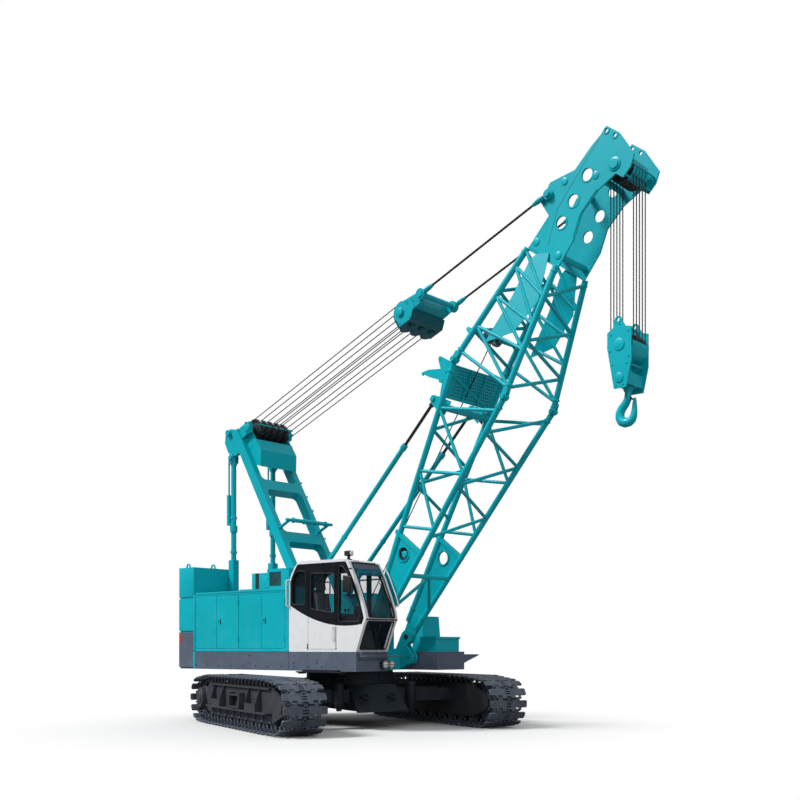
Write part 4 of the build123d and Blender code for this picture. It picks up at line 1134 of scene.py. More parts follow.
# ---------------------------------------------------------------- undercarriage
@dataclass
class Track(Assembly):
    """One crawler track: its shoes on their chain, and the trim of its frame."""

    side: Side
    turn: float = math.radians(-20.5)
    gauge_half: float = 1.93
    wheel_reach: float = 2.22
    link_radius: float = 0.419
    toe_lift: float = 0.018
    nose_drop: float = 0.058
    height: float = 0.96
    shoes: int = 56
    frame_half: float = 0.23
    rollers: int = 9
    roller_reach: float = 1.65

    @property
    def place(self) -> Matrix:
        """From the track's own middle line to the frame."""
        turned = Matrix.Translation(at(0, 0, 0)) @ Matrix.Rotation(self.turn, 4, "Z")
        return turned @ Matrix.Translation((0, self.side * self.gauge_half, 0))

    def build(self) -> None:
        """Make the shoes, the chain and the frame's trim."""
        self.shoe_loop()
        self.frame_trim()
        self.hub_covers()

    def loop(self) -> list[Point]:
        """The links' line, drawn flat: X forward and Y up, with both wheels a little off the ground.

        Returns:
            The places of the closed line.
        """
        middle, reach, radius = self.height / 2, self.wheel_reach, self.link_radius
        run = [reach * (step / 4 - 1) for step in range(9)]
        arc = [math.pi / 2 - math.pi * step / 24 for step in range(1, 24)]
        lower, upper = radius - self.toe_lift, radius - self.nose_drop
        nose = [(math.cos(a) * radius, math.sin(a) * (upper if a > 0 else lower)) for a in arc]
        path = [(x, middle + (upper if abs(x) == reach else radius), 0.0) for x in run]
        path += [(reach + x, middle + y, 0.0) for x, y in nose]
        path += [(-x, middle - (lower if abs(x) == reach else radius), 0.0) for x in run]
        return path + [(-reach - x, middle + y, 0.0) for x, y in reversed(nose)]

    def shoe(self) -> Shape:
        """One cast shoe that interlocks with the next: X outwards, Y across the track, Z along it.

        Returns:
            The shoe.
        """
        shape = Shape()
        half = [(-0.068, 0.050), (-0.068, 0.134), (-0.132, 0.146), (-0.132, 0.210), (-0.068, 0.226),
                (-0.068, 0.358), (-0.052, 0.378), (0.048, 0.380), (0.064, 0.364), (0.064, 0.272),
                (0.128, 0.236), (0.128, 0.222), (0.066, 0.220), (0.066, 0.136), (0.128, 0.130),
                (0.128, 0.060), (0.088, 0.050)]
        for side in Side:
            shape.plate([(0.020, side * y, z) for z, y in half], (0.034, 0, 0), 0.004, segments=1)
            shape.plate([(0.022, side * y, z)
                         for z, y in ((-0.052, 0.052), (-0.112, 0.018), (-0.112, 0.0), (-0.094, 0.0),
                                      (-0.048, 0.030))], (0.028, 0, 0))
            shape.box((-0.042, side * 0.115 - 0.045, -0.088), (0.024, side * 0.115 + 0.045, 0.088))
            shape.box((-0.09, side * 0.19 - 0.008, -0.04), (-0.03, side * 0.19 + 0.008, 0.04))
            shape.box((0.05, side * 0.31 - 0.02, -0.02), (0.0575, side * 0.31 + 0.02, 0.02))
            shape.box((0.0, side * 0.1515 - 0.0985, -0.03), (0.021, side * 0.1515 + 0.0985, 0.05))
        for low, high in ((-0.046, -0.020), (0.004, 0.026), (0.050, 0.086)):
            shape.box((0.022, -0.053, low), (0.050, 0.053, high))
        shape.bar((0.0, 0.0, 0.1025), ACROSS * 0.285, 0.017, 8)
        return shape

    def shoe_loop(self) -> None:
        """Set the shoes round the loop."""
        mesh = self.repeated([self.loop()], True, self.shoe(), self.shoes,
                             "track_steel", (0.0, 0.0, math.pi))
        upright = Matrix(((1, 0, 0, 0), (0, 0, -1, 0), (0, 1, 0, 0), (0, 0, 0, 1)))
        mesh.transform(self.place @ upright)
        self.put(mesh, f"track_shoes_{self.side.label}", "track_steel", "undercarriage",
                 (f"track_{self.side.label}",))

    def frame_trim(self) -> None:
        """Panels, ribs and steps on the outer face of the frame, and bolts beside each roller."""
        shape = Shape()
        out = self.side
        face = out * self.frame_half
        for x, reach, low, high in ((1.7, 0.05, 0.755, 0.785), (1.72, 0.125, 0.335, 0.365)):
            shape.box((-x, face, low), (x, face + out * reach, high), 0.005, self.place)
        for x in (-1.45, -0.86, 0.60, 1.18):
            gusset = [(face, 0.362), (face + out * 0.115, 0.362), (face + out * 0.115, 0.50),
                      (face + out * 0.03, 0.757), (face, 0.757)]
            shape.plate([(x, y, z) for y, z in gusset], (-out * 0.022, 0, 0), place=self.place)
        cover = face + out * 0.105
        for first, last in ((-1.45, -0.84), (0.60, 1.20)):
            sheet = [(first, cover, 0.364), (last, cover, 0.364), (last, cover, 0.50), (first, cover, 0.50)]
            shape.plate(sheet, (0, out * 0.010, 0), place=self.place)
        for first, last, low, high in ((-0.31, -0.25, 0.36, 0.66), (0.25, 0.31, 0.36, 0.66),
                                       (-0.28, 0.28, 0.60, 0.63), (-0.28, 0.28, 0.38, 0.41)):
            shape.box((first, face, low), (last, face + out * 0.12, high), 0.006, self.place)
        self.put(shape, f"track_frame_trim_{self.side.label}", "frame_paint", "undercarriage")
        rows = [[(-self.roller_reach, 0.0, 0.0), (self.roller_reach, 0.0, 0.0)]]
        bolt = Shape()
        for shift in (-0.05, 0.05):
            bolt.lathe(bolt_head(0.016, 0.012, 0.014), (0.0, 0.0, shift), ACROSS, 6)
        bolt.ring([(0.036, 0.0), (0.072, 0.0), (0.072, 0.014), (0.036, 0.02)], (0, 0, 0), ACROSS, 14)
        mesh = self.repeated(rows, False, bolt, self.rollers, "track_steel")
        stand = Matrix(((1, 0, 0, 0), (0, 0, 1, -self.frame_half), (0, -1, 0, 0.25), (0, 0, 0, 1)))
        if self.side > 0:
            stand = Matrix.Scale(-1, 4, (0, 1, 0)) @ stand
        mesh.transform(self.place @ stand)
        if self.side > 0:
            mesh.flip_normals()
        self.put(mesh, f"roller_caps_{self.side.label}", "track_steel", "undercarriage")

    def hub_covers(self) -> None:
        """Drum-like cover of the final drive, the idler's cap and the tensioner's guard."""
        shape = Shape()
        axis = self.place.to_3x3() @ self.side.out
        rear = self.place @ Vector((-self.wheel_reach, self.side * 0.17, self.height / 2))
        shape.lathe([(0.0, 0.0), (0.25, 0.0), (0.25, 0.06), (0.235, 0.075), (0.20, 0.075), (0.20, 0.15),
                     (0.185, 0.165), (0.12, 0.165), (0.11, 0.18), (0.0, 0.18)], rear, axis, 48)
        for x, z in circle(0.222, 12):
            spot = Vector((x - self.wheel_reach, self.side * 0.245, self.height / 2 + z))
            shape.lathe(bolt_head(0.014, 0.012, 0.012), self.place @ spot, axis, 6)
        front = self.place @ Vector((self.wheel_reach, self.side * 0.17, self.height / 2))
        shape.lathe([(0.0, 0.0), (0.15, 0.0), (0.15, 0.05), (0.09, 0.07), (0.08, 0.10), (0.0, 0.10)], front,
                    axis, 40)
        self.put(shape, f"hub_covers_{self.side.label}", "frame_paint", "undercarriage")


@dataclass
class Carbody(Assembly):
    """Trim of the centre body: sills and hole rims of its ends, ribs, beam caps, jacks and ring bolts."""

    turn: float = math.radians(-20.5)
    ring_radius: float = 0.78
    bolts: int = 36

    @property
    def place(self) -> Matrix:
        """From the undercarriage's own middle to the frame."""
        return Matrix.Translation(at(0, 0, 0)) @ Matrix.Rotation(self.turn, 4, "Z")

    def build(self) -> None:
        """Make the trim."""
        shape = Shape()
        for end in (-1, 1):
            shape.box((end * 1.50 - 0.06, -0.50, 0.31), (end * 1.50 + 0.06, 0.50, 0.345), 0.006, self.place)
            for y in (-0.27, 0.27):
                base = self.place @ Vector((end * 1.29, y, 0.575))
                out = self.place.to_3x3() @ Vector((end * 0.64, 0, 0.77))
                shape.ring(band(0.055, 0.085, 0.0, 0.03), base, out, 28)
        for x in (-0.9, 0.9):
            for side in Side:
                shape.box((x - 0.205, side * 1.42, 0.455),
                          (x + 0.205, side * 1.46, 0.735), 0.008, self.place)
                shape.box((x - 0.02, side * 0.56, 0.709), (x + 0.02, side * 1.42, 0.735), 0.004, self.place)
        self.put(shape, "carbody_trim", "undercarriage_paint", "undercarriage")
        self.jacks()
        ring = [[(x, y, 0.0) for x, y in circle(self.ring_radius, 64)]]
        bolt = Shape()
        bolt.lathe(bolt_head(0.022, 0.02, 0.022), (0.06, 0, 0), Side.RIGHT.out, 6)
        mesh = self.repeated(ring, True, bolt, self.bolts, "pin_steel")
        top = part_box("carbody")[1].z
        mesh.transform(Matrix.Translation(at(0, 0, top)))
        self.put(mesh, "ring_bolts", "pin_steel", "undercarriage")

    def jacks(self) -> None:
        """Four folded jack cylinders on the axle beams."""
        shape = Shape()
        for x in (-0.9, 0.9):
            for side in Side:
                end = 1 if x > 0 else -1
                base = self.place @ Vector((x + end * 0.27, side * 0.72, 0.40))
                shape.lathe([(0.0, 0.0), (0.085, 0.0), (0.09, 0.01), (0.09, 0.42), (0.075, 0.44),
                             (0.0, 0.44)], base, UP, 28)
                shape.lathe(disc(0.05, 0.07), base - UP * 0.07, UP, 20)
                shape.box((x, side * 0.72 - 0.05, 0.50),
                          (x + end * 0.22, side * 0.72 + 0.05, 0.68), 0.006, self.place)
        self.put(shape, "jack_cylinders", "undercarriage_paint", "undercarriage")


# ---------------------------------------------------------------- upper works
@dataclass
class House(Assembly):
    """Trim of the two machinery houses: latches, hinges, skirt bolts, roof boxes and rails."""

    latch_doors: tuple[int, ...] = (2, 4)
    intake_length: float = 0.597

    def build(self) -> None:
        """Make the trim."""
        for side in Side:
            self.latches(side)
            self.skirt_bolts(side)
            self.strips(side)
        self.intake()
        self.roof()

    def latches(self, side: Side) -> None:
        """Flush latches near the rear edge of every second leaf, on its own body.

        Args:
            side: The side of the machine.
        """
        for leaf in self.latch_doors:
            door = f"house_door_{side.label}_{leaf}"
            low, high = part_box(door)
            face = low.y if side < 0 else high.y
            x, z = low.x + 0.09, (low.z + high.z) / 2
            plate = Shape()
            plate.box((x - 0.055, face - side * 0.010, z - 0.07),
                      (x + 0.055, face - side * 0.002, z + 0.07), 0.003)
            self.put(plate, f"latch_plate_{side.label}_{leaf}", "paint_teal", door)
            lever = Shape()
            lever.box((x + 0.008, face - side * 0.003, z - 0.052),
                      (x + 0.034, face + side * 0.003, z + 0.052), 0.004)
            lever.lathe(bolt_head(0.013, 0.004, 0.005),
                        (x - 0.028, face - side * 0.003, z + 0.012), side.out, 16)
            self.put(lever, f"latch_{side.label}_{leaf}", "black_trim", door)

    def skirt_bolts(self, side: Side) -> None:
        """Screws in rows on the skirt, and its panel joints.

        Args:
            side: The side of the machine.
        """
        low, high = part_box(f"deck_{side.label}")
        face = low.y if side < 0 else high.y
        screw = Shape()
        screw.lathe([(0.013, 0.0), (0.013, 0.005), (0.007, 0.008), (0.0, 0.008)],
                    (0, 0, 0), Side.RIGHT.out, 10)
        length = high.x - low.x
        rows = [[(0.08, 0.075, 0.0), (length - 0.5, 0.075, 0.0)]]
        mesh = self.repeated(rows, False, screw, 12, "black_trim")
        flat = Matrix(((1, 0, 0, low.x), (0, 0, side, face), (0, 1, 0, low.z), (0, 0, 0, 1)))
        mesh.transform(flat)
        if side is Side.LEFT:
            mesh.flip_normals()
        self.put(mesh, f"skirt_screws_{side.label}", "black_trim")
        shape = Shape()
        for x, top in ((0.40, 0.27), (1.72, 0.27), (2.98, 0.27), (3.60, 0.20)):
            for z in (0.14, top):
                shape.lathe(bolt_head(0.012, 0.005, 0.007), (low.x + x, face, low.z + z), side.out, 10)
        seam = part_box(f"house_{side.label}")[1].x
        shape.box((seam - 0.003, face - side * 0.002, low.z + 0.002),
                  (seam + 0.003, face + side * 0.0012, high.z - 0.002))
        self.put(shape, f"skirt_marks_{side.label}", "black_trim")

    def strips(self, side: Side) -> None:
        """Rolled edge under the doors, rain strip over them, and the corner post by the counterweight.

        Args:
            side: The side of the machine.
        """
        low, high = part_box(f"house_{side.label}")
        face = low.y if side < 0 else high.y
        shape = Shape()
        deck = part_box(f"deck_{side.label}")[0]
        for first, base, last, top in ((low.x, low.z, high.x, low.z + 0.028),
                                       (low.x, high.z - 0.03, high.x, high.z + 0.004),
                                       (low.x, low.z, low.x + 0.045, high.z),
                                       (low.x - 0.002, deck.z + 0.002, low.x + 0.045, low.z)):
            shape.box((first, face, base), (last, face + side * 0.007, top), 0.003)
        for leaf in range(1, 5):
            first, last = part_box(f"house_door_{side.label}_{leaf}")
            hinge = Vector(joint(f"house_door_{side.label}_{leaf}_hinge")["pos_m"])
            for z in (first.z + 0.18, last.z - 0.18):
                shape.bar((hinge.x, face + side * 0.004, z), UP * 0.035, 0.0065, 10)
        self.put(shape, f"house_strips_{side.label}", "paint_teal")

    def intake(self) -> None:
        """The intake box in place of the plain roof boxes, with its woven screen, a dark sheet of painted shade
        behind it, frame and screws.
        """
        low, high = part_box("roof_boxes")
        left, right = high.x - 0.537, high.x - 0.207
        base, top = low.z + 0.06, low.z + 0.32
        start, y = high.x - self.intake_length, low.y
        shape = Shape()
        shape.box((start, y + 0.014, low.z), high, 0.004)
        for corner, other in (((start, low.z), (left, high.z)), ((right, low.z), (high.x, high.z)),
                              ((left, low.z), (right, base)), ((left, top), (right, high.z))):
            shape.box((corner[0], y, corner[1]), (other[0], y + 0.014, other[1]))
        shape.box((start - 0.16, y + 0.02, low.z), (start, y + 0.36, high.z - 0.12), 0.006)
        self.put(shape, "intake_box", "paint_teal", "upper_works", ("roof_boxes",))
        y += 0.008
        # A dark teal sheet behind the screen: painted shade.
        shape = Shape()
        shape.box((left, y + 0.003, base), (right, y + 0.0055, top))
        self.put(shape, "screen_back", "screen_back")
        across = Matrix(((0, 1, 0, (left + right) / 2), (0, 0, 1, y), (1, 0, 0, base), (0, 0, 0, 1)))
        upright = Matrix(((1, 0, 0, left), (0, 0, 1, y - 0.003), (0, 1, 0, (base + top) / 2), (0, 0, 0, 1)))
        for name, half, length, count, place in (("screen_rows", 0.165, 0.26, 34, across),
                                                 ("screen_columns", 0.13, 0.33, 42, upright)):
            wire = Shape()
            wire.bar((0, 0, 0), AHEAD * half, 0.0022, 4)
            mesh = self.repeated([[(0.0, 0.0, 0.0), (length, 0.0, 0.0)]], False, wire, count, "screen_wire")
            mesh.transform(place)
            if place is upright:
                mesh.flip_normals()
            self.put(mesh, name, "screen_wire")
        trim = Shape()
        for x in (high.x - 0.567, high.x - 0.03):
            for z in (low.z + 0.03, low.z + 0.19, low.z + 0.35):
                trim.lathe(bolt_head(0.01, 0.005, 0.006), (x, low.y, z), Side.RIGHT.out, 10)
        self.put(trim, "roof_box_screws", "black_trim")

    def roof(self) -> None:
        """Low humps, filler cap and exhaust on the roofs, and the left roof's hand rail."""
        shape = Shape()
        low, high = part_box("house_right")
        top = high.z
        shape.box((low.x + 1.28, low.y + 0.10, top), (low.x + 1.72, low.y + 0.48, top + 0.035), 0.012)
        low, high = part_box("house_left")
        shape.box((low.x + 0.5, low.y + 0.12, top), (low.x + 1.3, high.y - 0.12, top + 0.05), 0.015)
        shape.lathe(cap(0.05, 0.03, 0.04, 0.04), (low.x + 2.3, high.y - 0.3, top), UP, 24)
        self.put(shape, "roof_humps", "paint_teal")
        pipe = Shape()
        base = (low.x + 1.75, low.y + 0.2, top)
        pipe.lathe([(0.0, 0.0), (0.09, 0.0), (0.09, 0.012), (0.06, 0.02)], base, UP, 28)
        pipe.ring(band(0.045, 0.055, 0.0, 0.30), base, UP, 28)
        self.put(pipe, "exhaust", "dark_hollow")
        rail = Shape()
        y, start, end, up = high.y - 0.05, low.x + 0.2, high.x - 0.15, top + 0.32
        rail.sweep([(start, y, top), (start, y, up), (end, y, up), (end, y, top)], 0.017, 12)
        for x in (low.x + 1.0, low.x + 1.9):
            rail.sweep([(x, y, top), (x, y, up)], 0.015, 10)
        self.put(rail, "roof_rail", "paint_grey")


@dataclass
class Counterweight(Assembly):
    """Two upper blocks with a gap for the backstays, their lifting loops, reflectors and dark discs of painted
    shade in the slabs' holes.
    """

    chamfer: float = 0.470
    gap: float = 0.530
    inner_chamfer: float = 0.18
    seam: float = 0.030
    seam_depth: float = 0.018
    loops: tuple[tuple[float, float], ...] = ((-3.42, 1.20), (-3.15, 0.80))
    loop_height: float = 0.100
    arch: tuple[tuple[float, float], ...] = (
        (-0.055, -0.01), (-0.05, 0.05), (-0.03, 0.082), (0.03, 0.082), (0.05, 0.05), (0.055, -0.01))

    def build(self) -> None:
        """Make the blocks and the trim."""
        self.blocks()
        low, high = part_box("counterweight_lower")
        shape = Shape()
        for side, face in ((Side.RIGHT, low.y), (Side.LEFT, high.y)):
            shape.box((low.x + 0.30, face, high.z - 0.21),
                      (low.x + 0.34, face + side * 0.006, high.z - 0.03), 0.002)
        for y in (-0.75, 0.75):
            shape.box((low.x, y - 0.09, high.z - 0.12), (low.x + 0.001, y + 0.09, high.z - 0.07))
        self.put(shape, "reflectors", "red_reflector")
        # Dark discs on the slabs' rear face: painted shade of their holes.
        hole_shades = Shape()
        for slab in ("counterweight_middle", "counterweight_top"):
            for y in (-0.8, 0.8):
                hole_shades.lathe(disc(0.06, 0.02), (low.x, y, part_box(slab)[0].z + 0.2), AHEAD, 24)
        self.put(hole_shades, "slab_plugs", "dark_hollow")

    def outline(self, side: Side, inset: float) -> list[tuple[float, float]]:
        """Plan of one block, moved inwards along its outer side and rear.

        Args:
            side: The side of the machine.
            inset: How far it is moved inwards.

        Returns:
            The X and Y of its corners.
        """
        low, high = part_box("counterweight_top")
        half, rear = high.y - inset, low.x + inset
        corners = [(high.x, self.gap), (high.x, half), (rear + self.chamfer * 0.6, half),
                   (rear, half - self.chamfer), (rear, self.gap + self.inner_chamfer),
                   (rear + self.inner_chamfer, self.gap)]
        return [(x, side * y) for x, y in corners]

    def blocks(self) -> None:
        """The upper blocks in place of the plain slab, stepped in along their lower edge."""
        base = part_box("counterweight_top")[0].z
        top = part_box("counterweight_top")[1].z - self.loop_height
        shape = Shape()
        for side in Side:
            for inset, low, high in ((self.seam_depth, base, base + self.seam),
                                     (0.0, base + self.seam, top)):
                plan = [Vector((x, y, low)) for x, y in self.outline(side, inset)]
                shape.plate(plan, (0, 0, high - low), 0.006 if inset == 0 else 0.0)
            for x, y in self.loops:
                foot = at(x, side * y, top)
                arch = [foot + Vector((dx, 0, dz)) for dx, dz in self.arch]
                shape.sweep(rounded(arch, 0.03), 0.017, 12)
                shape.lathe(cap(0.085, 0.006, 0.075, 0.010), foot, UP, 28)
        self.put(shape, "upper_blocks", "paint_teal", "upper_works", ("counterweight_top",))
        # Dark strips in the gap between the blocks: painted shade.
        gap_shades = Shape()
        for side in Side:
            y = side * (self.gap - 0.001)
            gap_shades.box(at(-3.46, y, base + 0.12), at(-3.34, y + side * 0.004, top - 0.001))
        self.put(gap_shades, "block_slots", "dark_hollow")


@dataclass
class Pad(Assembly):
    """A stuffed piece: a block that a short cloth simulation swells."""

    name: str
    outline: tuple[tuple[float, float], ...]
    low_y: float
    high_y: float
    swell: float
    finish: str = "seat_fabric"
    body: str = "upper_works"
    voxel: float = 0.011
    fill: float = 0.7

    def start(self) -> bpy.types.Mesh:
        """The block before it swells.

        Returns:
            Its mesh.
        """
        shape = Shape()
        corners = [at(x, self.low_y, z) for x, z in self.outline]
        shape.plate(corners, (0, self.high_y - self.low_y, 0), 0.028, segments=3)
        return shape.mesh(self.name)

    def build(self) -> None:
        """Swell the block, smooth it and put it in place."""
        mesh = self.start()
        scene = bpy.context.scene
        carrier = linked("pad", mesh)
        remesh = carrier.modifiers.new("remesh", "REMESH")
        remesh.mode, remesh.voxel_size = "VOXEL", self.voxel
        carrier.data = baked(carrier)
        carrier.modifiers.clear()
        before = [vert.co.copy() for vert in carrier.data.vertices]
        cloth = carrier.modifiers.new("cloth", "CLOTH")
        cloth.settings.use_pressure = True
        cloth.settings.uniform_pressure_force = 4.0
        cloth.settings.effector_weights.gravity = 0.0
        cloth.point_cache.frame_start, cloth.point_cache.frame_end = 1, 20
        for number in range(1, 21):
            scene.frame_set(number)
        mesh = baked(carrier)
        for vert, place in zip(mesh.vertices, before):
            move = vert.co - place
            if move.length > self.swell:
                vert.co = place + move.normalized() * self.swell
        carrier.modifiers.clear()
        carrier.data = mesh
        fine = carrier.modifiers.new("fine", "SUBSURF")
        fine.levels = fine.render_levels = 1
        mesh = baked(carrier)
        bpy.data.objects.remove(carrier)
        scene.frame_set(1)
        for face in mesh.polygons:
            face.use_smooth = True
        piece = self.put(mesh, self.name, self.finish, self.body)


@dataclass
class Cab(Assembly):
    """The cab's trim: gaskets, wipers, rails, mirror, lamps, steps, seat and controls."""

    right: float = -1.384
    left: float = -0.600
    pillar: float = 0.070
    front: tuple[tuple[float, float], ...] = (
        (1.385, 2.972), (1.545, 2.700), (1.690, 2.390), (1.800, 2.110), (1.830, 1.974),
        (1.750, 1.810), (1.579, 1.395))
    rear_window: tuple[tuple[float, float], ...] = (
        (-0.07, 2.258), (-0.07, 2.64), (-0.025, 2.775), (0.085, 2.856), (0.3, 2.848), (0.3, 2.233))
    quarter: tuple[tuple[float, float], ...] = (
        (1.165, 1.915), (1.165, 2.896), (1.262, 2.896), (1.431, 2.690), (1.590, 2.379),
        (1.690, 2.139), (1.7, 1.915))
    left_rear: tuple[tuple[float, float], ...] = (
        (-0.07, 2.15), (-0.07, 2.64), (-0.025, 2.775), (0.085, 2.856), (1.1, 2.85), (1.1, 2.02))
    door_window: tuple[tuple[float, float], ...] = ((0.44, 2.16), (0.44, 2.80), (1.05, 2.775), (1.05, 2.078))

    def nose(self, z: float) -> float:
        """How far forward the cab's front stands at a height.

        Args:
            z: The height.

        Returns:
            Its distance from the slewing axis.
        """
        for (x0, z0), (x1, z1) in zip(self.front, self.front[1:]):
            if z1 <= z <= z0:
                return x1 + (x0 - x1) * (z - z1) / (z0 - z1)
        return self.front[0][0]

    def ahead(self, z: float, y: float, out: float) -> Vector:
        """A place ahead of the cab's front."""
        return at(self.nose(z) + out, y, z)

    def build(self) -> None:
        """Make the trim, the seat and the controls."""
        self.gaskets()
        self.windscreen()
        self.rails()
        self.mirror()
        self.lamps()
        self.steps()
        self.door_trim()
        self.seat()
        self.controls()

    def gaskets(self) -> None:
        """Rubber round every pane."""
        shape = Shape()
        panes = [(self.rear_window, self.right - 0.003), (self.quarter, self.right - 0.003),
                 (self.left_rear, self.left + 0.003), (self.quarter, self.left + 0.003)]
        for pane, y in panes:
            path = rounded([at(x, y, z) for x, z in pane], 0.05, True)
            shape.sweep(path, 0.011, 8, True)
        rows = [z for x, z in self.front if 1.974 < z < 2.95]
        inner = [2.945, *rows, 1.992]
        for heights in (inner, [1.925, 1.81, 1.44]):
            side = [self.ahead(z, self.right + self.pillar, 0.004) for z in heights]
            back = [self.ahead(z, self.left - self.pillar, 0.004) for z in reversed(heights)]
            shape.sweep(rounded(side + back, 0.03, True), 0.011, 8, True)
        back = [at(-0.154, y, z) for y, z in ((-1.264, 2.05), (-1.264, 2.6), (-0.72, 2.6), (-0.72, 2.05))]
        shape.sweep(rounded(back, 0.05, True), 0.011, 8, True)
        self.put(shape, "cab_gaskets", "black_trim")

    def windscreen(self) -> None:
        """Sun band along the top, two wipers with their arms, and the strip between the panes."""
        tint = Shape()
        high, low = 2.94, 2.73
        right, left = self.right + 0.085, self.left - 0.085
        corners = [self.ahead(z, y, 0.003)
                   for z, y in ((high, right), (low, right), (low, left), (high, left))]
        tint.plate(corners, (0.003, 0, 0.0018))
        self.put(tint, "sun_band", "sun_band")
        shape = Shape()
        arm = [self.ahead(z, y, out)
               for z, y, out in ((2.0, -0.735, 0.02), (2.04, -0.735, 0.045),
                                 (2.2, -0.74, 0.05), (2.45, -0.76, 0.03))]
        shape.sweep(rounded(arm, 0.04), 0.008, 8)
        blade = [self.ahead(z, y, 0.014) for z, y in ((2.16, -0.71), (2.39, -0.765), (2.62, -0.82))]
        shape.sweep(blade, 0.009, 6)
        arm = [self.ahead(z, y, out)
               for z, y, out in ((1.86, -1.0, 0.02), (1.83, -1.0, 0.04), (1.72, -1.03, 0.03))]
        shape.sweep(arm, 0.007, 8)
        blade = [self.ahead(z, y, 0.014) for z, y in ((1.79, -1.09), (1.62, -0.98))]
        shape.sweep(blade, 0.008, 6)
        for y, z in ((-0.735, 2.0), (-1.0, 1.86)):
            shape.lathe([(0.0, 0.0), (0.02, 0.0), (0.02, 0.03), (0.0, 0.034)],
                        at(self.nose(z), y, z), (1, 0, 0.2), 16)
        shape.sweep([self.ahead(1.958, y, 0.004) for y in (self.right + 0.01, self.left - 0.01)], 0.012, 8)
        self.put(shape, "wipers", "black_trim")

    def rails(self) -> None:
        """White grab rails at the rear edge and along the left front pillar, with their feet."""
        shape = Shape()
        rear = [at(-0.12, self.right, 2.70), at(-0.16, self.right - 0.06, 2.70),
                at(-0.16, self.right - 0.06, 2.22), at(-0.12, self.right, 2.22)]
        shape.sweep(rounded(rear, 0.035), 0.011, 10)
        heights = (2.86, 2.7, 2.39, 2.2)
        pillar = [self.ahead(z, self.left + 0.045, 0.055) for z in heights]
        ends = [at(self.nose(z) - 0.02, self.left - 0.01, z) for z in (2.86, 2.2)]
        shape.sweep(rounded([ends[0], *pillar, ends[1]], 0.03), 0.011, 10)
        for z in (2.70, 2.22):
            shape.lathe([(0.0, 0.0), (0.022, 0.0), (0.022, 0.006), (0.0, 0.008)],
                        at(-0.12, self.right, z), Side.RIGHT.out, 16)
        self.put(shape, "grab_rails", "paint_white")

    def mirror(self) -> None:
        """Rear mirror on a bent arm."""
        shape = Shape()
        arm = [at(x, self.right + out, z)
               for x, out, z in ((1.47, 0.01, 2.84), (1.49, -0.09, 2.84),
                                 (1.49, -0.09, 2.36), (1.55, 0.02, 2.36))]
        shape.sweep(rounded(arm, 0.05), 0.010, 10)
        shell = [at(x, self.right - 0.10, z)
                 for x, z in ((1.390, 2.425), (1.586, 2.415), (1.594, 2.700), (1.398, 2.719))]
        shape.plate(shell, (0.012, -0.052, 0), 0.02, segments=3)
        self.put(shape, "mirror", "black_trim")
        glass = Shape()
        glass.box((-0.085, -0.002, -0.125), (0.085, 0.002, 0.125), 0.0,
                  Matrix.Translation(at(1.492, self.right - 0.097, 2.565)))
        self.put(glass, "mirror_glass", "mirror_glass")

    def lamps(self) -> None:
        """Work lamp on the roof and the lamp pair under the cab's front with its wire guard."""
        shape = Shape()
        shape.box(at(1.14, -1.245, 3.085), at(1.28, -1.145, 3.176), 0.014)
        shape.box(at(1.19, -1.215, 3.02), at(1.23, -1.175, 3.09), 0.004)
        shape.box(at(1.16, -1.235, 3.015), at(1.26, -1.155, 3.03), 0.003)
        shape.box(at(1.588, -0.815, 1.095), at(1.645, -0.470, 1.238), 0.02)
        self.put(shape, "lamp_bodies", "black_trim")
        lens = Shape()
        lens.lathe([(0.0, 0.0), (0.040, 0.0), (0.042, 0.01), (0.036, 0.018), (0.0, 0.024)],
                   at(1.279, -1.195, 3.13), AHEAD, 28)
        for y in (-0.72, -0.565):
            lens.lathe([(0.0, 0.0), (0.066, 0.0), (0.068, 0.014), (0.052, 0.028), (0.0, 0.038)],
                       at(1.643, y, 1.167), AHEAD, 32)
        self.put(lens, "lamp_lenses", "lamp_lens")
        guard = Shape()
        for z in (1.12, 1.17, 1.22):
            path = [at(x, y, z)
                    for x, y in ((1.60, -0.83), (1.69, -0.81), (1.70, -0.64),
                                 (1.69, -0.475), (1.60, -0.455))]
            guard.sweep(rounded(path, 0.04), 0.005, 8)
        for y in (-0.82, -0.64, -0.465):
            guard.bar(at(1.69, y, 1.17), UP * 0.055, 0.005, 8)
        self.put(guard, "lamp_guard", "paint_grey")

    def steps(self) -> None:
        """Folding step under the cab, sloped sill and bumper rail."""
        shape = Shape()
        shape.box(at(0.16, -1.50, 1.022), at(1.33, -1.30, 1.046), 0.005)
        shape.box(at(0.30, -1.47, 1.046), at(1.20, -1.36, 1.075), 0.005)
        for x in (0.22, 1.27):
            shape.box(at(x - 0.02, -1.48, 1.0), at(x + 0.02, -1.32, 1.03), 0.004)
        self.put(shape, "folding_step", "undercarriage_paint")
        sill = Shape()
        outline = [(1.588, 1.390), (1.665, 1.390), (1.668, 1.378), (1.612, 1.262), (1.588, 1.255)]
        sill.plate([at(x, -1.33, z) for x, z in outline], (0, 0.66, 0), 0.005)
        rail = [at(x, y, 1.318) for x, y in ((1.60, -1.32), (1.74, -1.32), (1.74, -0.36), (1.60, -0.36))]
        sill.sweep(rounded(rail, 0.05), 0.012, 10)
        for y in (-1.20, -0.99, -0.78):
            sill.bar(at(1.672, y, 1.396), ACROSS * 0.07, 0.005, 6)
        self.put(sill, "front_sill", "paint_grey")

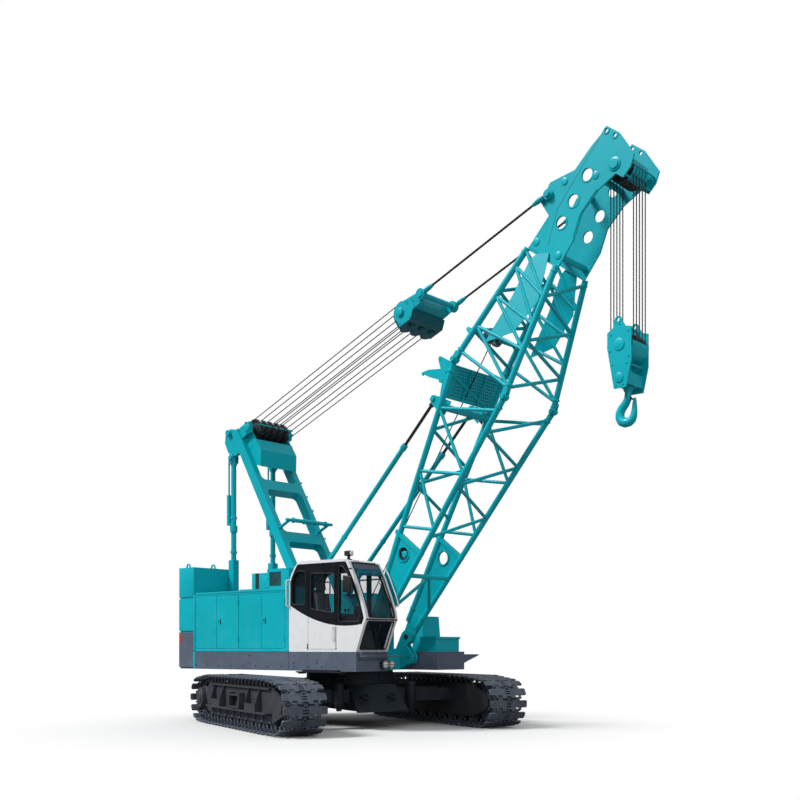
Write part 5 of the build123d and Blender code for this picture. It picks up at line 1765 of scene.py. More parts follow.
    def door_trim(self) -> None:
        """Window rubber, handle, hinges and front seam strip of the door."""
        shape = Shape()
        y = self.right - 0.003
        shape.sweep(rounded([at(x, y, z) for x, z in self.door_window], 0.05, True), 0.010, 8, True)
        shape.sweep([at(0.745, y + 0.006, 2.125), at(0.745, y + 0.006, 2.785)], 0.008, 8)
        shape.box(at(1.084, self.right - 0.004, 1.46), at(1.0905, self.right + 0.006, 1.87))
        self.put(shape, "door_gasket", "black_trim", "cab_door")
        low = Shape()
        wedge = [at(x, self.right - 0.005, z) for x, z in ((1.078, 1.462), (1.102, 1.462), (1.09, 1.432))]
        low.plate(wedge, (0, 0.006, 0))
        for z in (1.49, 2.88):
            low.bar(at(0.358, self.right - 0.002, z), UP * 0.05, 0.012)
        self.put(low, "door_hinge_trim", "black_trim")

    def seat(self) -> None:
        """Pedestal and stuffed cushions in place of the plain seat."""
        base = Shape()
        base.box(at(0.36, -1.14, 1.445), at(0.80, -0.85, 1.475), 0.006)
        for step in range(4):
            z = 1.475 + step * 0.065
            grow = 0.018 if step % 2 else 0.0
            base.box(at(0.40 - grow, -1.12 - grow, z), at(0.76 + grow, -0.87 + grow, z + 0.062), 0.012)
        base.box(at(0.335, -1.185, 1.735), at(0.80, -0.80, 1.775), 0.010)
        shell = [at(x, -1.15, z) for x, z in ((0.245, 1.78), (0.165, 2.47), (0.19, 2.475), (0.275, 1.785))]
        base.plate(shell, (0, 0.31, 0), 0.006)
        for y in (-1.205, -0.78):
            base.box(at(0.36, y - 0.025, 2.02), at(0.66, y + 0.025, 2.055), 0.012)
        for y in (-1.04, -0.945):
            base.sweep([at(0.21, y, 2.45), at(0.235, y, 2.55)], 0.007, 8)
        self.put(base, "seat_pedestal", "console_plastic", "upper_works", ("cab_seat",))
        pads = (("seat_pad", ((0.345, 1.79), (0.815, 1.79), (0.815, 1.875), (0.345, 1.865)), -1.175, -0.81,
                 0.018),
                ("back_pad", ((0.345, 1.90), (0.245, 2.48), (0.325, 2.48), (0.435, 1.90)), -1.17, -0.815,
                 0.018),
                ("head_pad", ((0.235, 2.52), (0.215, 2.675), (0.275, 2.675), (0.318, 2.52)), -1.105, -0.88,
                 0.012))
        for name, outline, low, high, swell in pads:
            Pad(self.shop, name, outline, low, high, swell).build()

    def controls(self) -> None:
        """Levers, pedals, switches, monitor and floor mat."""
        shape = Shape()
        for y in (-1.06, -0.93):
            path = [at(1.30, y, 1.45), at(1.29, y, 1.75), at(1.24, y, 1.98)]
            shape.sweep(rounded(path, 0.08), 0.009, 10)
            shape.lathe([(0.0, 0.0), (0.017, 0.0), (0.02, 0.05), (0.017, 0.10), (0.0, 0.11)],
                        at(1.245, y, 1.97), (-0.2, 0, 1), 16)
            hinge = at(1.4, y, 1.5)
            tilted = Matrix.Translation(hinge) @ Matrix.Rotation(-0.5, 4, "Y") @ Matrix.Translation(-hinge)
            shape.box(at(1.34, y - 0.05, 1.50), at(1.47, y + 0.05, 1.512), 0.004, tilted)
        for y in (-1.26, -0.725):
            for x in (0.62, 0.70):
                shape.sweep([at(x, y, 2.03), at(x + 0.01, y, 2.14)], 0.006, 8)
                shape.lathe([(0.0, 0.0), (0.016, 0.008), (0.022, 0.03), (0.014, 0.05), (0.0, 0.055)],
                            at(x + 0.01, y, 2.13), UP, 16)
        shape.box(at(1.42, -1.30, 2.03), at(1.46, -1.08, 2.20), 0.012)
        shape.sweep([at(1.44, -1.19, 1.90), at(1.44, -1.19, 2.05)], 0.012, 10)
        shape.box(at(0.40, -1.25, 1.446), at(1.50, -0.70, 1.456), 0.003)
        self.put(shape, "cab_controls", "console_plastic")
        face = Shape()
        face.box(at(1.416, -1.285, 2.045), at(1.421, -1.095, 2.185), 0.001)
        self.put(face, "monitor_face", "mirror_glass")


# ---------------------------------------------------------------- boom
@dataclass(frozen=True)
class Sheave:
    """A grooved rope wheel with its hub, web and rim."""

    pitch: float
    half: float = 0.030
    bore: float = 0.050
    rope: float = 0.011

    def add(self, shape: Shape, centre: Vector, sides: int = 48) -> None:
        """Add one wheel that turns about Y.

        Args:
            shape: Where it goes.
            centre: Its middle.
            sides: Its sides.
        """
        rim = self.pitch + self.rope
        floor = self.pitch - self.rope
        hub = self.bore + 0.03
        side = [(self.bore, self.half + 0.004), (hub, self.half + 0.004), (hub + 0.006, 0.009),
                (floor - 0.034, 0.008), (floor - 0.022, self.half - 0.004), (rim, self.half),
                (rim, self.half - 0.007), (floor + 0.002, 0.010)]
        profile = [(r, -h) for r, h in side] + [(floor, 0.0)] + [(r, h) for r, h in reversed(side)]
        shape.ring(profile, centre, ACROSS, sides)

    def rims(self, shape: Shape, centre: Vector, sides: int = 48) -> None:
        """Add only the two flanges of a wheel's groove.

        Args:
            shape: Where they go.
            centre: The wheel's middle.
            sides: Their sides.
        """
        for sign in (-1, 1):
            low, high = sorted((sign * 0.0175, sign * self.half))
            shape.ring(band(self.pitch - 0.04, self.pitch + self.rope, low, high), centre, ACROSS, sides)


@dataclass
class Boom(Assembly):
    """Trim of the boom: joints, perforated deck, hoist rope, head sheaves, guards and pins."""

    stations: tuple[tuple[float, float, float, float], ...] = (
        (0.26, -0.150, 0.215, 0.520), (5.03, -0.345, 1.070, 0.736), (7.15, 0.180, 0.985, 0.475))
    chord: float = 0.051
    joint: float = 5.03
    deck: tuple[float, float] = (4.40, 4.94)
    guide: tuple[float, float] = (5.56, 1.08)
    head: float = 7.15
    head_face: float = 0.395
    sheaves: int = 5
    sheave_pitch: float = 0.089
    sheave: Sheave = Sheave(0.205)
    web_hole: tuple[float, float] = (1.680, 0.175)
    rope_plane: float = -0.12
    eye_along: float = 4.23
    eye_rise: float = 0.29
    eye_y: float = 0.51

    def section(self, along: float) -> tuple[float, float, float]:
        """The boom's section at a place along it.

        Args:
            along: How far from the foot pin.

        Returns:
            Where its front and its rear stand square to the boom, and half its width.
        """
        low, high = self.stations[:2] if along <= self.joint else self.stations[1:]
        share = (along - low[0]) / (high[0] - low[0])
        return tuple(low[k] + (high[k] - low[k]) * share for k in (1, 2, 3))

    def corner(self, along: float, rear: bool, side: int) -> Vector:
        """A place on the middle line of a chord.

        Args:
            along: How far from the foot pin.
            rear: True for a rear chord.
            side: Right is less than nought.

        Returns:
            The place in the frame.
        """
        front, back, half = self.section(along)
        square = back - self.chord if rear else front + self.chord
        return BOOM.at(along, square, side * (half - self.chord))

    def eye(self, y: float) -> Vector:
        """The middle of a backstop's eye on the rear chords."""
        return BOOM.at(self.eye_along, self.section(self.eye_along)[1] - self.chord + self.eye_rise, y)

    def build(self) -> None:
        """Make the trim."""
        self.joints()
        self.perforations()
        self.ropes()
        self.foot()
        self.head_wheels()
        self.head_trim()
        self.brackets()

    def joints(self) -> None:
        """Collars and pins where the two sections meet, and collars at the ends of the chords."""
        shape = Shape()
        pins = Shape()
        for rear in (False, True):
            for side in Side:
                middle = self.corner(self.joint, rear, side)
                for along in (self.joint - 0.17, self.joint + 0.17):
                    spot = self.corner(along, rear, side)
                    ahead = (spot - middle).normalized()
                    shape.lathe([(0.051, 0.0), (0.064, 0.006), (0.064, 0.034), (0.051, 0.05)], spot, ahead,
                                28)
                shape.ring(band(0.034, 0.052, -0.062, 0.062), middle, ACROSS, 28)
                pins.lathe([(0.0, -0.085), (0.030, -0.085), (0.030, -0.080), (0.030, 0.070), (0.044, 0.070),
                            (0.044, 0.084), (0.0, 0.088)], middle, side.out, 24)
                pins.bar(middle - side.out * 0.076, AHEAD * 0.05, 0.005, 6)
        for along in (0.50, 7.05):
            for rear in (False, True):
                for side in Side:
                    spot = self.corner(along, rear, side)
                    ahead = (self.corner(along + 0.05, rear, side) - spot).normalized()
                    shape.lathe([(0.051, 0.0), (0.060, 0.005), (0.060, 0.03), (0.051, 0.035)], spot, ahead,
                                28)
        self.put(shape, "chord_collars", "paint_teal", "boom")
        self.put(pins, "joint_pins", "paint_teal", "boom")

    def perforations(self) -> None:
        """Rows of holes in the deck between the rear chords, drawn as dark discs of painted shade, and its edge
        strips.
        """
        start, end = self.deck
        low, high = self.corner(start, True, 1), self.corner(end, True, 1)
        length = (high - low).length
        ahead = Vector((high.x - low.x, 0, high.z - low.z)).normalized()
        up = Vector((-ahead.z, 0, ahead.x))
        hole = Shape()
        hole.lathe(disc(0.0135, 0.0075, -0.0075), (0, 0, 0), ACROSS, 8)
        rows = []
        for row in range(9):
            offset = 0.028 if row % 2 else 0.0
            x = 0.06 + row * (length - 0.12) / 8
            rows.append([(x, -0.50 + offset, 0.0), (x, 0.50 + offset, 0.0)])
        mesh = self.repeated(rows, False, hole, 19, "dark_hollow")
        base = Vector((low.x, 0, low.z))
        place = Matrix((ahead, ACROSS, up)).transposed().to_4x4()
        mesh.transform(Matrix.Translation(base) @ place)
        self.put(mesh, "deck_perforations", "dark_hollow", "boom")
        shape = Shape()
        for reach in (0.0, length):
            shape.bar(base + ahead * reach, ACROSS * 0.62, 0.016, 8)
        for y in (-0.2, 0.2):
            start = base + up * -0.03 + ACROSS * y
            shape.sweep([start, start + ahead * length], 0.012, 8)
        self.put(shape, "deck_edges", "paint_teal", "boom")

    def ropes(self) -> None:
        """Hoist ropes over the guide wheels to the head, and from the winch to the guide wheels."""
        along, square = self.guide
        wheel = BOOM.at(along - 0.02, square - 0.116, self.rope_plane)
        path = [wheel, BOOM.at(along + 0.6, square - 0.17, self.rope_plane),
                BOOM.at(8.80, 0.375, self.rope_plane)]
        mesh = self.roped([path], 0.011)
        self.put(mesh, "hoist_rope_upper", "wire_rope", "boom")
        drum = at(0.183, self.rope_plane, 1.650)
        mesh = self.roped([[drum, wheel]], 0.011)
        self.put(mesh, "hoist_rope_lower", "wire_rope", "boom", span=("upper_works", "boom", drum, wheel))
        shape = Shape()
        for y in (-0.12, 0.12):
            Sheave(0.105, 0.024, 0.025).rims(shape, BOOM.at(along, square, y), 36)
            shape.lathe(disc(0.045, 0.04, -0.04), BOOM.at(along, square, y), ACROSS, 24)
        self.put(shape, "guide_wheels", "sheave_steel", "boom")

    def foot(self) -> None:
        """Collars at the foot pins and lips round the holes in the web plates."""
        shape = Shape()
        for side in Side:
            for y, out in ((0.466, -1), (0.534, 1)):
                shape.ring(band(0.058, 0.095, 0.0, 0.008), BOOM.at(0, 0, side * y), side.out * out, 32)
            spot = BOOM.at(self.web_hole[0], self.web_hole[1], side * 0.53)
            shape.ring(band(0.121, 0.140, -0.03, 0.03), spot, side.out, 40)
        self.put(shape, "foot_collars", "paint_teal", "boom")
        inner = Shape()
        spot = BOOM.at(self.web_hole[0], self.web_hole[1], -0.505)
        inner.lathe([(0.0, 0.0), (0.124, 0.0), (0.124, 0.020), (0.098, 0.020), (0.096, 0.006), (0.0, 0.006)],
                    spot, Side.RIGHT.out, 36)
        self.put(inner, "web_cover", "dark_hollow", "boom")
        boss = Shape()
        boss.lathe(cap(0.060, 0.014, 0.03, 0.024), spot + Vector((0, -0.005, 0)), Side.RIGHT.out, 28)
        for x, z in circle(0.092, 3, 0.5):
            boss.sweep([spot + Vector((0, -0.012, 0)), spot + Vector((x, -0.012, z))], 0.009, 8)
        self.put(boss, "web_boss", "paint_teal", "boom")

    def head_wheels(self) -> None:
        """Grooved wheels of the boom head in place of the plain ones, on their pin."""
        shape = Shape()
        for y in planes(self.sheaves, self.sheave_pitch):
            self.sheave.add(shape, Vector((HEAD.x, y, HEAD.z)))
        shape.lathe(disc(0.058, 0.362, -0.362), (HEAD.x, 0, HEAD.z), ACROSS, 28)
        self.put(shape, "head_wheels", "sheave_steel", "boom", ("head_sheaves",))

    def head_trim(self) -> None:
        """Rope guards, hole lips, seams, bosses and pin caps of the head."""
        shape = Shape()
        out = self.head_face
        for along, square in ((1.40, 0.55), (0.97, 0.56), (0.60, 0.57)):
            for side in Side:
                shape.ring(band(0.101, 0.122, -0.006, 0.008),
                           BOOM.at(self.head + along, square, side * out), side.out, 40)
        for side in Side:
            for along, square in ((0.15, 0.85), (0.15, 0.32), (1.15, 0.90), (1.45, 0.395)):
                shape.lathe(cap(0.062, 0.010, 0.04, 0.016),
                            BOOM.at(self.head + along, square, side * out), side.out, 28)
            shape.lathe([(0.0, 0.0), (0.105, 0.0), (0.105, 0.014), (0.07, 0.022), (0.07, 0.036),
                         (0.0, 0.036)], (HEAD.x, side * out, HEAD.z), side.out, 36)
            for square in (0.61, 0.42):
                shape.ring(band(0.033, 0.055, 0.0, 0.010),
                           BOOM.at(self.head + 2.08, square, side * out), side.out, 28)
            edge = [BOOM.at(self.head + a, s, side * (out + 0.002))
                    for a, s in ((0.49, 0.215), (0.86, 0.31), (1.28, 0.24))]
            shape.sweep(edge, 0.008, 6)
        for y in planes(self.sheaves, self.sheave_pitch):
            strip = bent_strip(0.243, 0.233, range(-62, 33, 12))
            shape.plate([HEAD + Vector((x, y - 0.034, z)) for x, z in strip], (0, 0.068, 0))
        for x, z, radius in ((0.18, -0.20, 0.016), (0.245, 0.0, 0.014), (-0.10, 0.26, 0.016)):
            shape.bar(HEAD + Vector((x, 0, z)), ACROSS * 0.38, radius)
        self.put(shape, "head_trim", "paint_teal", "boom")
        seams = Shape()
        for side in Side:
            for line in (((1.93, 0.66), (1.62, 0.70), (0.75, 0.77), (0.20, 0.60)),
                         ((0.02, 0.40), (0.02, 0.96))):
                spots = [BOOM.at(self.head + along, square, side * out) for along, square in line]
                for first, last in zip(spots, spots[1:]):
                    across = (last - first).cross(ACROSS).normalized() * 0.003
                    seams.plate([first - across, last - across, last + across, first + across],
                                (0, side * 0.0012, 0))
        self.put(seams, "head_seams", "black_trim", "boom")
        pins = Shape()
        for side in Side:
            spot = BOOM.at(self.head + 0.86, 1.06, 0.0)
            pins.lathe(headed_pin(0.038, 0.36, 0.470, 0.052, 0.486, 0.490), spot, side.out, 24)
        self.put(pins, "pendant_pins", "paint_teal", "boom")

    def brackets(self) -> None:
        """Eyes and pins of the brackets on the rear chords."""
        shape = Shape()
        pins = Shape()
        for side in Side:
            for along, square, radius in ((4.900, 1.325, 0.034), (4.49, 1.53, 0.026),
                                          (4.60, 1.10, 0.045), (4.78, 1.08, 0.03)):
                spot = BOOM.at(along, square, side * (self.section(along)[2] - self.chord + 0.015))
                shape.ring(band(radius * 0.55, radius, -0.006, 0.006), spot, side.out, 24)
                pins.lathe([(0.0, 0.0), (radius * 0.5, 0.0), (radius * 0.5, 0.008), (0.0, 0.01)], spot,
                           side.out, 12)
            pins.lathe(headed_pin(0.028, -0.09, 0.08, 0.042, 0.094, 0.096),
                       self.eye(side * self.eye_y), side.out, 20)
        self.put(shape, "bracket_eyes", "paint_teal", "boom")
        self.put(pins, "bracket_pins", "paint_teal", "boom")


# ---------------------------------------------------------------- gantry and winches
@dataclass
class Gantry(Assembly):
    """Trim of the gantry: grooved wheels, hood, guide wheels, pins and the backstays' fittings."""

    pin: tuple[float, float] = (-2.400, 5.905)
    half: float = 0.510
    leg: float = 0.130
    wheels: int = 5
    wheel_pitch: float = 0.165
    wheel: Sheave = Sheave(0.200, 0.028)
    foot: tuple[float, float] = (-0.190, 1.560)
    top: tuple[float, float] = (-2.760, 5.870)
    backstay: float = -2.864

    def on_leg(self, share: float, square: float, y: float) -> Vector:
        """A place along a leg, square to it and across.

        Args:
            share: How far up the leg, from nought to one.
            square: How far square to it.
            y: How far to the machine's left.

        Returns:
            The place.
        """
        run = Vector((self.top[0] - self.foot[0], self.top[1] - self.foot[1]))
        side = Vector((-run.y, run.x)).normalized()
        spot = Vector(self.foot) + run * share + side * square
        return at(spot.x, y, spot.y)

    def build(self) -> None:
        """Make the trim."""
        self.wheel_packs()
        self.hood()
        self.pins()
        self.stays()
        self.ladder()

    def wheel_packs(self) -> None:
        """Grooved wheels in place of the plain ones, and the low guide wheels."""
        shape = Shape()
        centre = at(self.pin[0], 0, self.pin[1])
        for y in planes(self.wheels, self.wheel_pitch):
            self.wheel.add(shape, centre + ACROSS * y)
        shape.lathe(disc(0.05, 0.466, -0.466), centre, ACROSS, 28)
        self.put(shape, "gantry_wheels", "sheave_steel", "upper_works", ("gantry_sheaves",))
        low = Shape()
        for y in (-0.22, 0.22):
            Sheave(0.10, 0.026, 0.046).add(low, self.on_leg(0.88, 0.0, y), 36)
        self.put(low, "gantry_guide_wheels", "sheave_steel")

    def hood(self) -> None:
        """Bent guard plate behind the wheel pack, rope keeper bars and head plate bolts."""
        shape = Shape()
        x, z = self.pin
        strip = bent_strip(0.250, 0.242, range(139, 240, 10))
        shape.plate([at(x + dx, -0.44, z + dz) for dx, dz in strip], (0, 0.88, 0))
        shape.bar(at(x + 0.232, 0, z + 0.06), ACROSS * 0.45, 0.012)
        self.put(shape, "gantry_hood", "paint_teal")
        bolts = Shape()
        for side in Side:
            for dx, dz in ((0.10, 0.02), (-0.10, 0.02), (0.0, 0.11), (0.0, -0.10),
                           (-0.25, -0.03), (0.02, -0.25)):
                bolts.lathe(bolt_head(0.016, 0.012, 0.014), at(x + dx, side * 0.550, z + dz), side.out, 6)
        self.put(bolts, "gantry_bolts", "paint_teal")

    def pins(self) -> None:
        """Caps of the gantry's own pins, of the backstops' feet, and spool ends of the roller bar."""
        shape = Shape()
        for side in Side:
            edge = side * (self.half + self.leg / 2)
            for x, z, radius in ((*self.foot, 0.075), (-0.550, 2.600, 0.042)):
                shape.lathe(cap(radius, 0.012, radius * 0.7, 0.02), at(x, edge, z), side.out, 28)
            shape.lathe(cap(0.085, 0.014, 0.055, 0.024),
                        at(self.pin[0], side * 0.550, self.pin[1]), side.out, 28)
        self.put(shape, "gantry_pin_caps", "paint_teal")
        spool = Shape()
        arm = self.on_leg(0.515, -0.08, 0.0)
        bar = arm + Vector((0.330 * math.cos(math.radians(25)), 0, 0.330 * math.sin(math.radians(25))))
        for y in (-0.42, -0.14, 0.14, 0.42):
            spool.ring(band(0.030, 0.055, -0.012, 0.012), bar + ACROSS * y, ACROSS, 28)
        spool.ring(band(0.0305, 0.040, -0.40, 0.40), bar, ACROSS, 28)
        self.put(spool, "roller_sleeve", "paint_teal")

    def stays(self) -> None:
        """Clevises, pins and lock nuts of the backstays."""
        shape = Shape()
        pins = Shape()
        for side in Side:
            y = side * self.half
            for z in (5.345, 1.56):
                pins.lathe(headed_pin(0.036, -0.10, 0.09, 0.05, 0.104, 0.106),
                           at(self.backstay, y, z), side.out, 24)
            for z in (5.20, 4.10, 3.40, 2.50):
                shape.lathe(disc(0.070, 0.045), at(self.backstay, y, z), UP, 6)
            for gap in (-0.062, 0.062):
                low, high = sorted((y + gap, y + gap + math.copysign(0.016, gap)))
                shape.plate([at(self.backstay + dx, low, z)
                             for dx, z in ((-0.055, 5.24), (0.055, 5.24), (0.055, 5.40), (0.03, 5.42),
                                           (-0.03, 5.42), (-0.055, 5.40))], (0, high - low, 0), 0.004)
        self.put(shape, "backstay_fittings", "paint_teal")
        self.put(pins, "backstay_pins", "paint_teal")

    def ladder(self) -> None:
        """Climbing rungs on the left leg."""
        shape = Shape()
        for step in range(10):
            share = 0.14 + step * 0.07
            y = self.half + self.leg / 2
            path = [self.on_leg(share, 0.07, y - 0.01), self.on_leg(share, 0.07, y + 0.09),
                    self.on_leg(share, -0.07, y + 0.09), self.on_leg(share, -0.07, y - 0.01)]
            shape.sweep(rounded(path, 0.03, steps=3), 0.009, 8)
        self.put(shape, "gantry_rungs", "paint_teal")


@dataclass
class Winches(Assembly):
    """Rope wound on the three drums, and the covers of their drives."""

    drums: tuple[tuple[float, float, float], ...] = (
        (0.0, 0.300, 0.640), (-1.150, 0.300, 0.640), (-2.050, 0.230, 0.560))
    deck: float = 1.395
    rope: float = 0.011

    def build(self) -> None:
        """Make the wound rope and the drives."""
        rope = Shape()
        drive = Shape()
        for x, radius, width in self.drums:
            centre = at(x, 0, self.deck + radius + 0.09)
            half = width / 2 - 0.032
            turns = int(2 * half / (2 * self.rope))
            core = radius * 0.72
            profile = [(core - 0.002, -half)]
            for index in range(turns):
                start = -half + index * 2 * self.rope
                for step in (1, 3, 5):
                    a = math.pi * step / 6
                    profile.append((core + self.rope + self.rope * math.sin(a),
                                    start + self.rope * (1 - math.cos(a))))
                profile.append((core + self.rope * 0.8, start + 2 * self.rope))
            profile.append((core - 0.002, half))
            rope.lathe([(max(r, 0.01), h) for r, h in profile], centre, ACROSS, 40)
            for side in Side:
                drive.lathe(cap(radius * 0.55, 0.05, radius * 0.35, 0.08),
                            centre + side.out * (width / 2 + 0.040), side.out, 32)
        self.put(rope, "wound_rope", "wire_rope")
        self.put(drive, "winch_drives", "paint_grey")


# ---------------------------------------------------------------- rigging
@dataclass
class Rigging(Assembly):
    """Wire ropes, sockets and fittings between the gantry, the spreader and the boom head."""

    wheels: int = 5
    wheel_pitch: float = 0.165
    falls: float = 4.396
    reach: float = 0.2003
    rope: float = 0.011
    pendant: float = 0.022
    pendant_y: float = 0.440
    pendant_length: float = 2.930

    def build(self) -> None:
        """Make the ropes and fittings."""
        self.luffing()
        self.spreader()
        self.pendants()
        self.backstops()

    def luffing(self) -> None:
        """Ten twisted runs in place of the plain ones."""
        runs = [[STAY.at(0.0, side * self.reach, y), STAY.at(self.falls, side * self.reach, y)]
                for y in planes(self.wheels, self.wheel_pitch) for side in (-1, 1)]
        mesh = self.roped(runs, self.rope)
        self.put(mesh, "luffing_ropes", "wire_rope", "luffing_line", ("luffing_falls",),
                 ("luffing_line", "luffing_stay", STAY.at(0.3, 0), STAY.at(self.falls - 0.3, 0)))

    def spreader(self) -> None:
        """Groove flanges, the under plate and its bosses in dark teal as painted shade, end plate bolts and the
        pin's caps.
        """
        wheels = Shape()
        axis = self.falls
        for y in planes(self.wheels, self.wheel_pitch):
            Sheave(0.200, 0.028).rims(wheels, STAY.at(axis, 0, y))
        self.put(wheels, "spreader_wheels", "sheave_steel", "luffing_stay")
        # The under plate and its bosses in dark teal: painted shade on the spreader's underside.
        shape = Shape()
        down = STAY.at(0, -1) - STAY.at(0, 0)
        for y in (-0.26, 0.0, 0.26):
            shape.lathe([(0.0, 0.0), (0.055, 0.0), (0.055, 0.02), (0.035, 0.03), (0.035, 0.045),
                         (0.0, 0.045)], STAY.at(axis + 0.04, -0.262, y), down, 24)
        profile = [(-0.155, -0.085), (-0.118, -0.257), (0.195, -0.257), (0.305, -0.118)]
        thick = [(0.309, -0.123), (0.197, -0.263), (-0.123, -0.263), (-0.161, -0.086)]
        shape.plate([STAY.at(axis + a, b, -0.43) for a, b in profile + thick], (0, 0.86, 0))
        for y in (-0.27, 0.0, 0.27):
            shape.lathe(disc(0.150, 0.006), STAY.at(axis - 0.04, -0.2575, y), down, 36)
            shape.lathe(disc(0.110, 0.006), STAY.at(axis + 0.13, -0.2575, y), down, 36)
        self.put(shape, "spreader_bosses", "spreader_shadow", "luffing_stay")
        bolts = Shape()
        for side in Side:
            face = side * 0.424
            for along, square in ((axis - 0.09, -0.15), (axis + 0.16, -0.18), (axis + 0.20, 0.09),
                                  (axis + 0.34, 0.05), (axis + 0.34, -0.06)):
                bolts.lathe(bolt_head(0.015, 0.012, 0.014, -0.002),
                            STAY.at(along, square, face), side.out, 6)
            bolts.lathe(cap(0.075, 0.012, 0.045, 0.02), STAY.at(axis, 0, face), side.out, 28)
            bolts.lathe([(0.0, 0.0), (0.062, 0.0), (0.062, 0.012), (0.0, 0.014)],
                        STAY.at(axis + 0.57, 0, side * 0.481), side.out, 28)
        self.put(bolts, "spreader_bolts", "paint_teal", "luffing_stay")

    def pendants(self) -> None:
        """Twisted pendants with turned sockets in place of the plain ones."""
        start = self.falls + 0.57
        end = start + self.pendant_length
        paths = [[STAY.at(start + 0.30, 0, y), STAY.at(end - 0.30, 0, y)]
                 for y in (-self.pendant_y, self.pendant_y)]
        mesh = self.roped(paths, self.pendant, 0.26, 0.05, 8)
        self.put(mesh, "pendant_ropes", "wire_rope", "luffing_stay", ("pendants",))
        shape = Shape()
        ahead = STAY.at(1, 0) - STAY.at(0, 0)
        for side in Side:
            y = side * self.pendant_y
            shape.ring(band(0.053, 0.098, -0.035, 0.035), STAY.at(start, 0, y), ACROSS, 36)
            for along, axis in ((start + 0.09, ahead), (end - 0.09, -ahead)):
                shape.lathe([(0.0, 0.0), (0.034, 0.0), (0.042, 0.04), (0.042, 0.12), (0.026, 0.22),
                             (0.0, 0.22)], STAY.at(along, 0, y), axis, 24)
            low = y - 0.032 if side > 0 else y - 0.004
            shape.ring(band(0.040, 0.085, 0.0, 0.036), STAY.at(end, 0, low), ACROSS, 32)
        self.put(shape, "pendant_sockets", "paint_teal", "luffing_stay")

    def backstops(self) -> None:
        """Glands at the ends of the backstop tubes, and collars at their feet and eyes."""
        swing = joint("backstop_swing")["pos_m"]
        slide = Vector(joint("backstop_slide")["axis"])
        foot = Vector((swing[0], 0, swing[2]))
        distance = (Boom(self.shop).eye(0.0) - foot).length
        shape = Shape()
        rods = Shape()
        for side in Side:
            y = side.out * Boom.eye_y
            end = foot + slide * (distance - 1.0) + y
            shape.ring([(0.030, -0.10), (0.058, -0.10), (0.058, -0.01), (0.048, 0.004), (0.030, 0.004)], end,
                       slide, 32)
            shape.ring(band(0.046, 0.054, 0.0, 0.03), foot + slide * 1.3 + y, slide, 32)
            shape.ring(band(0.046, 0.056, 0.0, 0.05), foot + slide * 0.14 + y, slide, 32)
            rods.ring(band(0.029, 0.044, 0.0, 0.05), foot + slide * (distance - 0.14) + y, slide, 28)
        self.put(shape, "backstop_glands", "paint_teal", "backstop_tube")
        self.put(rods, "backstop_collars", "pin_steel", "backstop_rod")


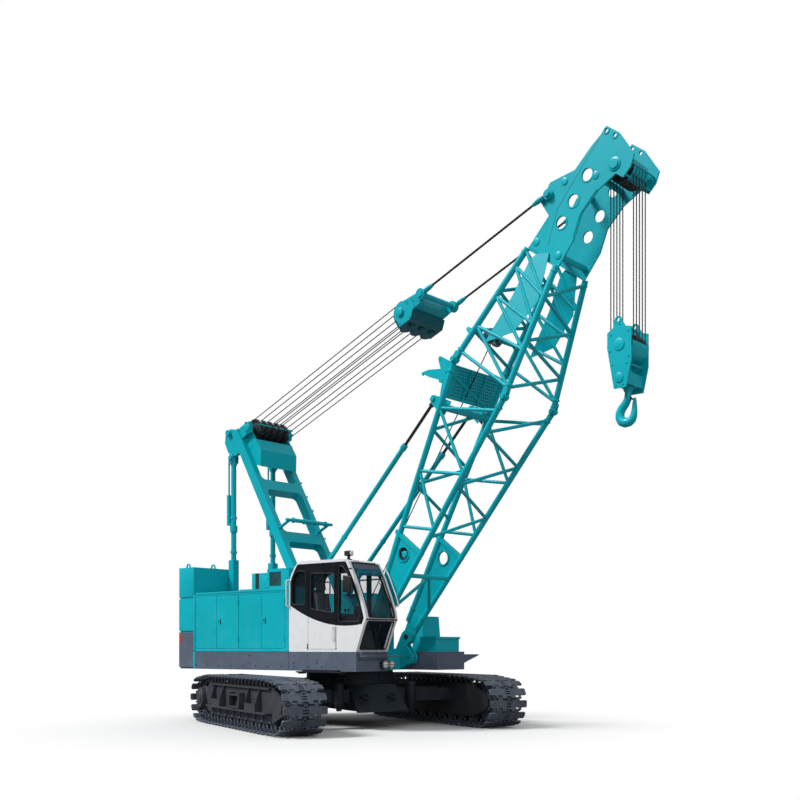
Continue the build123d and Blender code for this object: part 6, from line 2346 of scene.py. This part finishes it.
@dataclass
class HookBlock(Assembly):
    """Twisted falls, grooved wheels, guards, bolts and the forged hook with its latch."""

    sheaves: int = 5
    pitch: float = 0.089
    radius: float = 0.2053
    rope: float = 0.011
    half: float = 0.2425
    hook_line: tuple[tuple[float, float, float], ...] = (
        (0.0, 5.555, 0.052), (0.0, 5.43, 0.054), (-0.006, 5.355, 0.060), (-0.048, 5.285, 0.064),
        (-0.108, 5.222, 0.067), (-0.147, 5.150, 0.071), (-0.146, 5.078, 0.075), (-0.110, 5.020, 0.078),
        (-0.050, 4.994, 0.076), (0.020, 4.998, 0.072), (0.074, 5.030, 0.065), (0.103, 5.086, 0.057),
        (0.114, 5.160, 0.048), (0.118, 5.240, 0.039), (0.122, 5.310, 0.030), (0.126, 5.355, 0.018))

    def build(self) -> None:
        """Make the ropes, the block's trim and the hook."""
        self.falls()
        self.block()
        self.hook()

    def falls(self) -> None:
        """Ten twisted runs in place of the plain ones."""
        runs = [[Vector((HEAD.x + reach, y, BLOCK.z)), Vector((HEAD.x + reach, y, HEAD.z))]
                for y in planes(self.sheaves, self.pitch) for reach in (-self.radius, self.radius)]
        mesh = self.roped(runs, self.rope)
        self.put(mesh, "hoist_ropes", "wire_rope", "hoist_line", ("hoist_falls",))

    def block(self) -> None:
        """Wheel flanges, curved guard between the cheeks, bolts, pin caps and trunnion plates."""
        wheels = Shape()
        for y in planes(self.sheaves, self.pitch):
            Sheave(0.205, 0.030).rims(wheels, BLOCK + ACROSS * y)
        self.put(wheels, "block_wheels", "sheave_steel", "hoist_line")
        shape = Shape()
        for sign in (-1, 1):
            strip = bent_strip(0.236, 0.228, range(-78, 11, 11))
            shape.plate([BLOCK + Vector((sign * x, -self.half, z)) for x, z in strip], (0, 2 * self.half, 0))
        for dx, dz in ((-0.13, -0.30), (0.13, -0.30), (0.0, 0.32)):
            shape.bar(BLOCK + Vector((dx, 0, dz)), ACROSS * self.half, 0.018)
        shape.lathe(disc(0.085, 0.03), BLOCK - UP * 0.612, (0, 0, -1), 32)
        for side in Side:
            face = side * (self.half + 0.024)
            for z, radius in ((0.0, 0.095), (-0.515, 0.078)):
                shape.lathe(cap(radius, 0.012, radius * 0.65, 0.02),
                            BLOCK + Vector((0, face, z)), side.out, 32)
            shape.ring(band(0.030, 0.052, 0.0, 0.008), BLOCK + Vector((-0.02, face, 0.385)), side.out, 28)
        self.put(shape, "block_guards", "paint_teal", "hoist_line")
        bolts = Shape()
        for side in Side:
            face = side * (self.half + 0.024)
            for dx, dz in ((-0.13, -0.30), (0.13, -0.30), (0.0, 0.32), (-0.06, -0.62), (0.06, -0.62),
                           (-0.15, 0.17), (0.16, 0.19), (-0.17, -0.08), (0.17, -0.20)):
                bolts.lathe(bolt_head(0.016, 0.012, 0.014, -0.002),
                            BLOCK + Vector((dx, face, dz)), side.out, 6)
        self.put(bolts, "block_bolts", "paint_teal", "hoist_line")

    def hook(self) -> None:
        """The forged hook in place of the plain one, with its collar and spring latch."""
        shape = Shape()
        line = [(Vector((BLOCK.x + x, 0, z)), radius) for x, z, radius in self.hook_line]
        path, radii = [], []
        for (first, low), (second, high) in zip(line, line[1:]):
            for share in (0.0, 0.5):
                path.append(first.lerp(second, share))
                radii.append(low + (high - low) * share)
        path.append(line[-1][0])
        radii.append(line[-1][1])
        path.append(line[-1][0] + Vector((0.004, 0, 0.012)))
        radii.append(0.006)
        shape.sweep(path, radii, 28)
        shape.lathe([(0.0, 0.0), (0.066, 0.0), (0.070, 0.01), (0.070, 0.06), (0.055, 0.075), (0.0, 0.075)],
                    (BLOCK.x, 0, 5.475), UP, 36)
        self.put(shape, "forged_hook", "paint_teal", "hook_swivel", ("hook",))
        latch = Shape()
        hinge = Vector((BLOCK.x + 0.030, 0, 5.385))
        tip = Vector((BLOCK.x + 0.112, 0, 5.325))
        ahead = (tip - hinge).normalized()
        up = ahead.cross(ACROSS)
        for sign in (-1, 1):
            side = ACROSS * sign * 0.022
            latch.plate([hinge + side + up * 0.012, tip + side + up * 0.008, tip + side - up * 0.008,
                         hinge + side - up * 0.02], ACROSS * 0.003 * sign)
        latch.bar(hinge, ACROSS * 0.034, 0.008)
        latch.plate([hinge - ACROSS * 0.022 + up * 0.01, hinge + ACROSS * 0.022 + up * 0.01,
                     tip + ACROSS * 0.022 + up * 0.007, tip - ACROSS * 0.022 + up * 0.007], up * 0.003)
        self.put(latch, "hook_latch", "pin_steel", "hook_swivel")


def main() -> None:
    """Build the scene in order."""
    logging.basicConfig(level=logging.INFO)
    bpy.context.scene.view_settings.view_transform = "Standard"
    Studio().build()
    LOG.info("studio ready")
    shop = Workshop()
    shop.dress_nodes()
    LOG.info("nodes dressed")
    assemblies = [Track(shop, side) for side in Side]
    assemblies += [kind(shop)
                   for kind in (Carbody, House, Counterweight, Cab, Boom, Gantry,
                                Winches, Rigging, HookBlock)]
    for assembly in assemblies:
        assembly.build()
        LOG.info("%s built", type(assembly).__name__)


if __name__ == "__main__":
    main()
